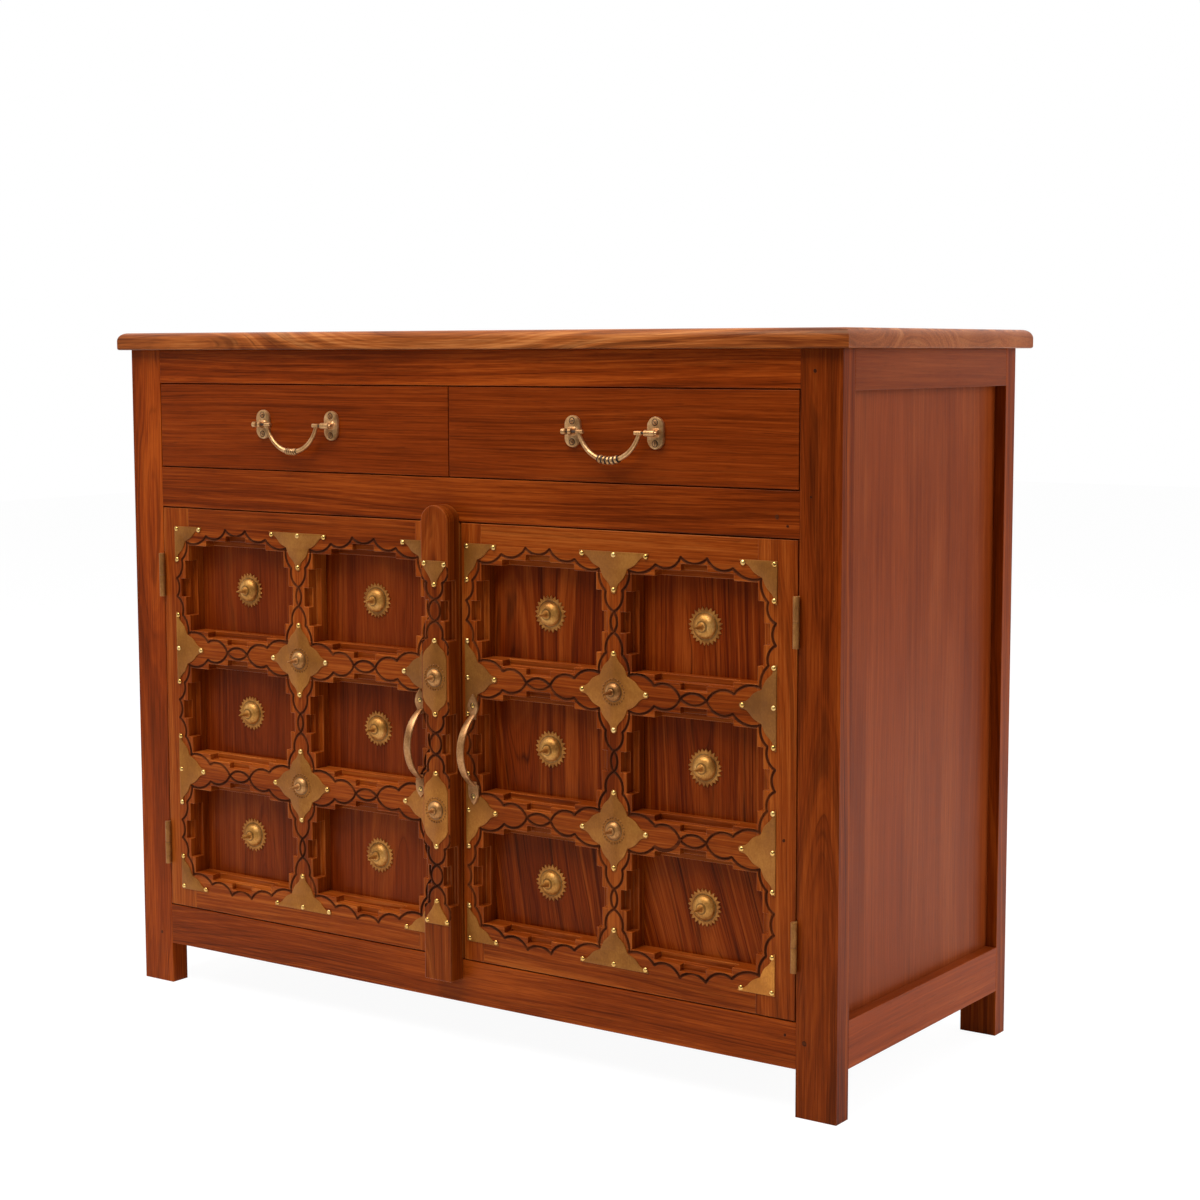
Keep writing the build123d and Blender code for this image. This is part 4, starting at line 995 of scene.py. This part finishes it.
def door_pull(hand, x):
    """A bowed strap between two leaf-shaped feet."""
    pile = Pile()
    foot = LEAF_Y - PLATE
    reach = PULL_REACH - PLATE
    radius = (PULL_HALF ** 2 + reach ** 2) / (2 * reach)
    sweep = math.asin(PULL_HALF / radius)
    strap, sizes = [], []  # its half sizes are greatest in the middle
    steps = 32
    r = radius - 1.8
    for i in range(steps + 1):
        a = -sweep + 2 * sweep * i / steps
        strap.append(place(x, foot - reach + radius - r * math.cos(a), PULL_MIDDLE + r * math.sin(a)))
        end = abs(a) / sweep
        sizes.append((1.9 + 0.3 * (1 - end), 5.5 - 2.0 * max(0.0, (end - 0.45) / 0.55) ** 1.8))
    pile.tube(strap, sizes, X_WAY, 18, 0, 0.7)
    pile.sheet(mirrored(rounded(PULL_LEAF, 4), x, PULL_MIDDLE + PULL_HALF), foot, PULL_FOOT, 0.8)
    pile.sheet(mirrored(PULL_SHIELD, x, PULL_MIDDLE - PULL_HALF), foot, PULL_FOOT, 0.8)
    for z, turn in PULL_SCREWS:
        # A thin disc of painted shade round the screw head.
        pile.turned(x, foot - PULL_FOOT, z, [(3.7, 0.0), (3.7, 0.06), (0.5, 0.08)], 16, 2)
        pile.screw(x, foot - PULL_FOOT - 0.02, z, 2.9, turn)
    pile.object(f"{hand}_pull", f"{hand}_door", "handle_brass", f"{hand}_door_pull",
                ["pull_brass", "nail_brass", "painted_shade_brass"], 35)


door_pull("left", -48.0)
door_pull("right", 38.0)

# ---- drawer bails ----
BAIL_X, BAIL_Z, BAIL_Y = 253.375, 792.5, -13.0  # middle of a bail's pins
BAIL_HALF = 43.5  # half the width of the bow
ROD, ROD_SWELL = 2.2, 1.1  # its radius at the ends, and how much more it has in the middle
RING_SHARES = (0.72, 0.93, 1.0, 0.93, 0.72)  # radii along one of the grip's rings
BRACKET_X, BRACKET_SCREW = 60.0, 12.6  # from the bail's middle to a bracket's, and from that to its screws
# Bars that carry on from the bow: distance from the middle and radius along each, and its material.
PIN_BARS = (
    (((37.0, 2.1), (37.5, 2.7), (47.0, 2.7), (47.5, 2.1)), 0),
    # This middle bar is painted shade, for the gap between the bow's end and the lug.
    (((47.0, 1.5), (63.0, 1.5)), 1),
    (((63.0, 2.2), (67.4, 2.4), (68.2, 1.8)), 0),
)
BRACKET_W, BRACKET_END, BRACKET_STRAIGHT = 11.6, 11.9, 7.4  # half sizes of its plate
BRACKET_THICK, BRACKET_EASE = 4.0, 1.5
# The bracket's lug: distance in front of the drawer, half width and half height.
LUG = ((3.2, 7.2, 6.4), (4.6, 6.6, 5.2), (6.2, 6.1, 4.1), (8.6, 5.8, 3.4), (12.0, 5.7, 3.2))
KNUCKLES = {-1: ((-8.2, -2.2), (1.6, 6.1)), 1: ((-8.6, 6.1),)}  # of the left and right bracket


def drawer_bail(hand, side, drop, ring, pitch):
    """A bail with a ringed grip, and the two oval brackets whose folded lugs hold its pins."""
    middle = side * BAIL_X
    radius = (BAIL_HALF ** 2 + drop ** 2) / (2 * drop)
    centre_z = BAIL_Z - drop + radius
    sweep = math.asin(BAIL_HALF / radius)
    if centre_z < BAIL_Z:
        sweep = math.pi - sweep

    def on_bow(a):
        return place(middle + radius * math.sin(a), BAIL_Y, centre_z - radius * math.cos(a))

    rod = Pile()
    steps = 48
    angles = [-sweep + 2 * sweep * i / steps for i in range(steps + 1)]
    sizes = [ROD + ROD_SWELL * (1 - abs(a) / sweep) ** 0.6 for a in angles]
    rod.tube([on_bow(a) for a in angles], [(r, r) for r in sizes], Y_WAY)
    for k in range(-2, 3):
        line = [on_bow((k * pitch + (j - 2) * pitch * 0.19) / radius) for j in range(5)]
        rod.tube(line, [(r * ring, r * ring) for r in RING_SHARES], Y_WAY, 18)
    # A core of painted shade shows between the grip's rings.
    sleeve = [on_bow(2.6 * pitch * t / radius) for t in (-1, -0.5, 0, 0.5, 1)]
    rod.tube(sleeve, [(0.82 * ring, 0.82 * ring)] * len(sleeve), Y_WAY, 16, 1)
    for way in (-1, 1):
        for bar, kind in PIN_BARS:
            points = [place(middle + way * d, BAIL_Y, BAIL_Z) for d, r in bar]
            rod.tube(points, [(r, r) for d, r in bar], Y_WAY, 14, kind)
    rod.object(f"{hand}_bail_rod", f"{hand}_bail", "handle_brass", f"{hand}_bail",
               ["handle_brass", "painted_shade_brass"])

    plates = Pile()
    for way in (-1, 1):
        x = middle + way * BRACKET_X
        oval = []
        for k in range(40):
            a = 2 * math.pi * k / 40
            c, s = math.cos(a), math.sin(a)
            oval.append((x + BRACKET_W * c, BAIL_Z + math.copysign(BRACKET_STRAIGHT, s) + BRACKET_END * s))
        plates.sheet(oval, 0.0, BRACKET_THICK, BRACKET_EASE)
        lug = [place(x, -out, BAIL_Z) for out, w, h in LUG]
        plates.tube(lug, [(w, h) for out, w, h in LUG], Z_WAY, 20, 0, 0.6)
        for a, b in KNUCKLES[way]:
            barrel = [place(x + d, BAIL_Y, BAIL_Z) for d in (a, a + 0.4, b - 0.4, b)]
            plates.tube(barrel, [(r, r) for r in (3.4, 3.9, 3.9, 3.4)], Y_WAY, 20)
        for k, dz in enumerate((-BRACKET_SCREW, BRACKET_SCREW)):
            # A thin disc of painted shade round the screw head.
            plates.turned(x, -3.95, BAIL_Z + dz, [(4.3, 0.0), (4.3, 0.1), (0.5, 0.12)], 18, 2)
            plates.screw(x, -BRACKET_THICK, BAIL_Z + dz, 3.3, 0.4 + way + k * 0.9)
    plates.object(f"{hand}_brackets", f"{hand}_drawer", "handle_brass", f"{hand}_bail_brackets",
                  ["handle_brass", "pull_brass", "painted_shade_brass"])


drawer_bail("left", -1, 35.0, 4.6, 3.6)
drawer_bail("right", 1, 33.5, 5.3, 5.8)


# ---- pegs ----
def pegs(name, body, y, spots):
    """Dark ends of wooden pins at (x, z, radius), a hair proud of the face y that they are driven into."""
    pile = Pile()
    for x, z, r in spots:
        profile = [(r, 0.0), (r, 0.42), (r * 0.8, 0.55), (0.2, 0.58)]
        pile.turned(x, y + 0.3, z, profile, 12, 0, 0.06, f"{x}{z}")
    obj = board_object(name, opened(pile.mesh(name)), ["peg_wood"])
    grain(obj.data, "Y", name)
    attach(obj, body)


pegs("post_pegs", "case", 0.0, (
    (526.0, 866.0, 2.2), (522.0, 724.0, 1.4), (519.0, 90.0, 3.2), (-528.0, 70.0, 2.2),
))
pegs("rail_pegs", "case", 0.0, ((493.0, 96.0, 1.8),))
pegs("right_door_pegs", "right_door", LEAF_Y, (
    (478.0, 700.0, 2.6), (492.0, 690.0, 1.6), (490.0, 326.0, 2.0),
))


# ---- hinges ----
for name, node in (
    ("hinge_case_set", "hinge_case_leaves"), ("hinge_pin_set", "hinge_pins"),
    ("left_hinge_set", "left_door_hinge_leaves"), ("right_hinge_set", "right_door_hinge_leaves"),
):
    obj = board_object(name, own_mesh(node, 0.25), ["hinge_brass"])
    smooth(obj.data, 35)
    stand_in(obj, node)

# ---- camera ----
CAMERA_AT = (1.8013, -2.4625, 0.8880)  # metres, solved from the photo's perspective
YAW, PITCH, ROLL = math.radians(34.917), math.radians(6.204), math.radians(0.109)

scene = bpy.context.scene
camera_data = bpy.data.cameras.new("camera")
camera_data.lens = 68.58
camera_data.clip_end = 60
camera = linked("camera", camera_data)
forward = Vector((-math.sin(YAW) * math.cos(PITCH), math.cos(YAW) * math.cos(PITCH), -math.sin(PITCH)))
camera.rotation_mode = "QUATERNION"
camera.rotation_quaternion = forward.to_track_quat("-Z", "Y")
camera.rotation_quaternion.rotate(Quaternion(forward, ROLL))
camera.location = CAMERA_AT
scene.camera = camera

# ---- light ----
# The key lamp hangs overhead, as the domes' highlights in the photo show; only it shows in reflections.
LAMPS = (
    ("key", (-0.3, -1.7, 3.6), 2.6, 160),
    ("side", (3.7, 0.9, 1.7), 2.2, 64),
    ("left", (-3.7, 0.9, 1.7), 2.2, 50),
    ("back", (1.2, 3.4, 2.2), 2.2, 55),
)
LAMP_AIM = Vector((0, 0, 0.45))
for name, spot, size, power in LAMPS:
    lamp = bpy.data.lights.new(name, "AREA")
    lamp.shape = "SQUARE"
    lamp.size = size
    lamp.energy = power
    holder = linked(name, lamp)
    holder.location = spot
    holder.rotation_mode = "QUATERNION"
    holder.rotation_quaternion = (LAMP_AIM - Vector(spot)).to_track_quat("-Z", "Y")
    holder.visible_glossy = name == "key"

# The camera sees a white world; reflections see it brighter to the left and back, and the rest is dim.
SEEN, DIFFUSE = 1.0, 0.32
scene.world = bpy.data.worlds.new("studio")
g = Graph(scene.world)
rays = g.add("ShaderNodeLightPath").outputs
way = g.add("ShaderNodeTexCoord").outputs["Generated"]
aim = g.add("ShaderNodeVectorMath", {0: way, 1: (-0.6, 0.5, 0.1)}, operation="DOT_PRODUCT").outputs["Value"]
limits = {"From Min": -0.22, "From Max": 0.4, "To Min": 0.06, "To Max": 0.92}
reflected = g.add("ShaderNodeMapRange", {"Value": aim, **limits}).outputs[0]
strength = g.mix(rays["Is Glossy Ray"], DIFFUSE, reflected, "FLOAT")
strength = g.mix(rays["Is Camera Ray"], strength, SEEN, "FLOAT")
g.put(g.tree.nodes["Background"], {"Strength": strength, "Color": WHITE})

# ---- floor ----
# White paper: to the camera mostly its own glow, the rest lit, so that the shadow stays.
floor_mesh = bpy.data.meshes.new("floor")
floor_mesh.from_pydata([(-9, -1.5, 0), (9, -1.5, 0), (9, 12, 0), (-9, 12, 0)], [], [(0, 1, 2, 3)])
floor = linked("floor", floor_mesh)
GLOW_SHARE, GLOW = 0.86, 1.1
g = new_look("floor_paper")
g.surface(Base_Color=(0.8, 0.8, 0.8, 1), Roughness=0.9)
share = g.math("MULTIPLY", g.add("ShaderNodeLightPath").outputs["Is Camera Ray"], GLOW_SHARE)
glow = g.add("ShaderNodeEmission", {"Strength": GLOW}).outputs[0]
lit = g.tree.nodes["Principled BSDF"].outputs[0]
blend = g.add("ShaderNodeMixShader", {0: share, 1: lit, 2: glow}).outputs[0]
g.put(g.tree.nodes["Material Output"], {"Surface": blend})
floor_mesh.materials.append(LOOKS["floor_paper"])

scene.view_settings.view_transform = "Standard"
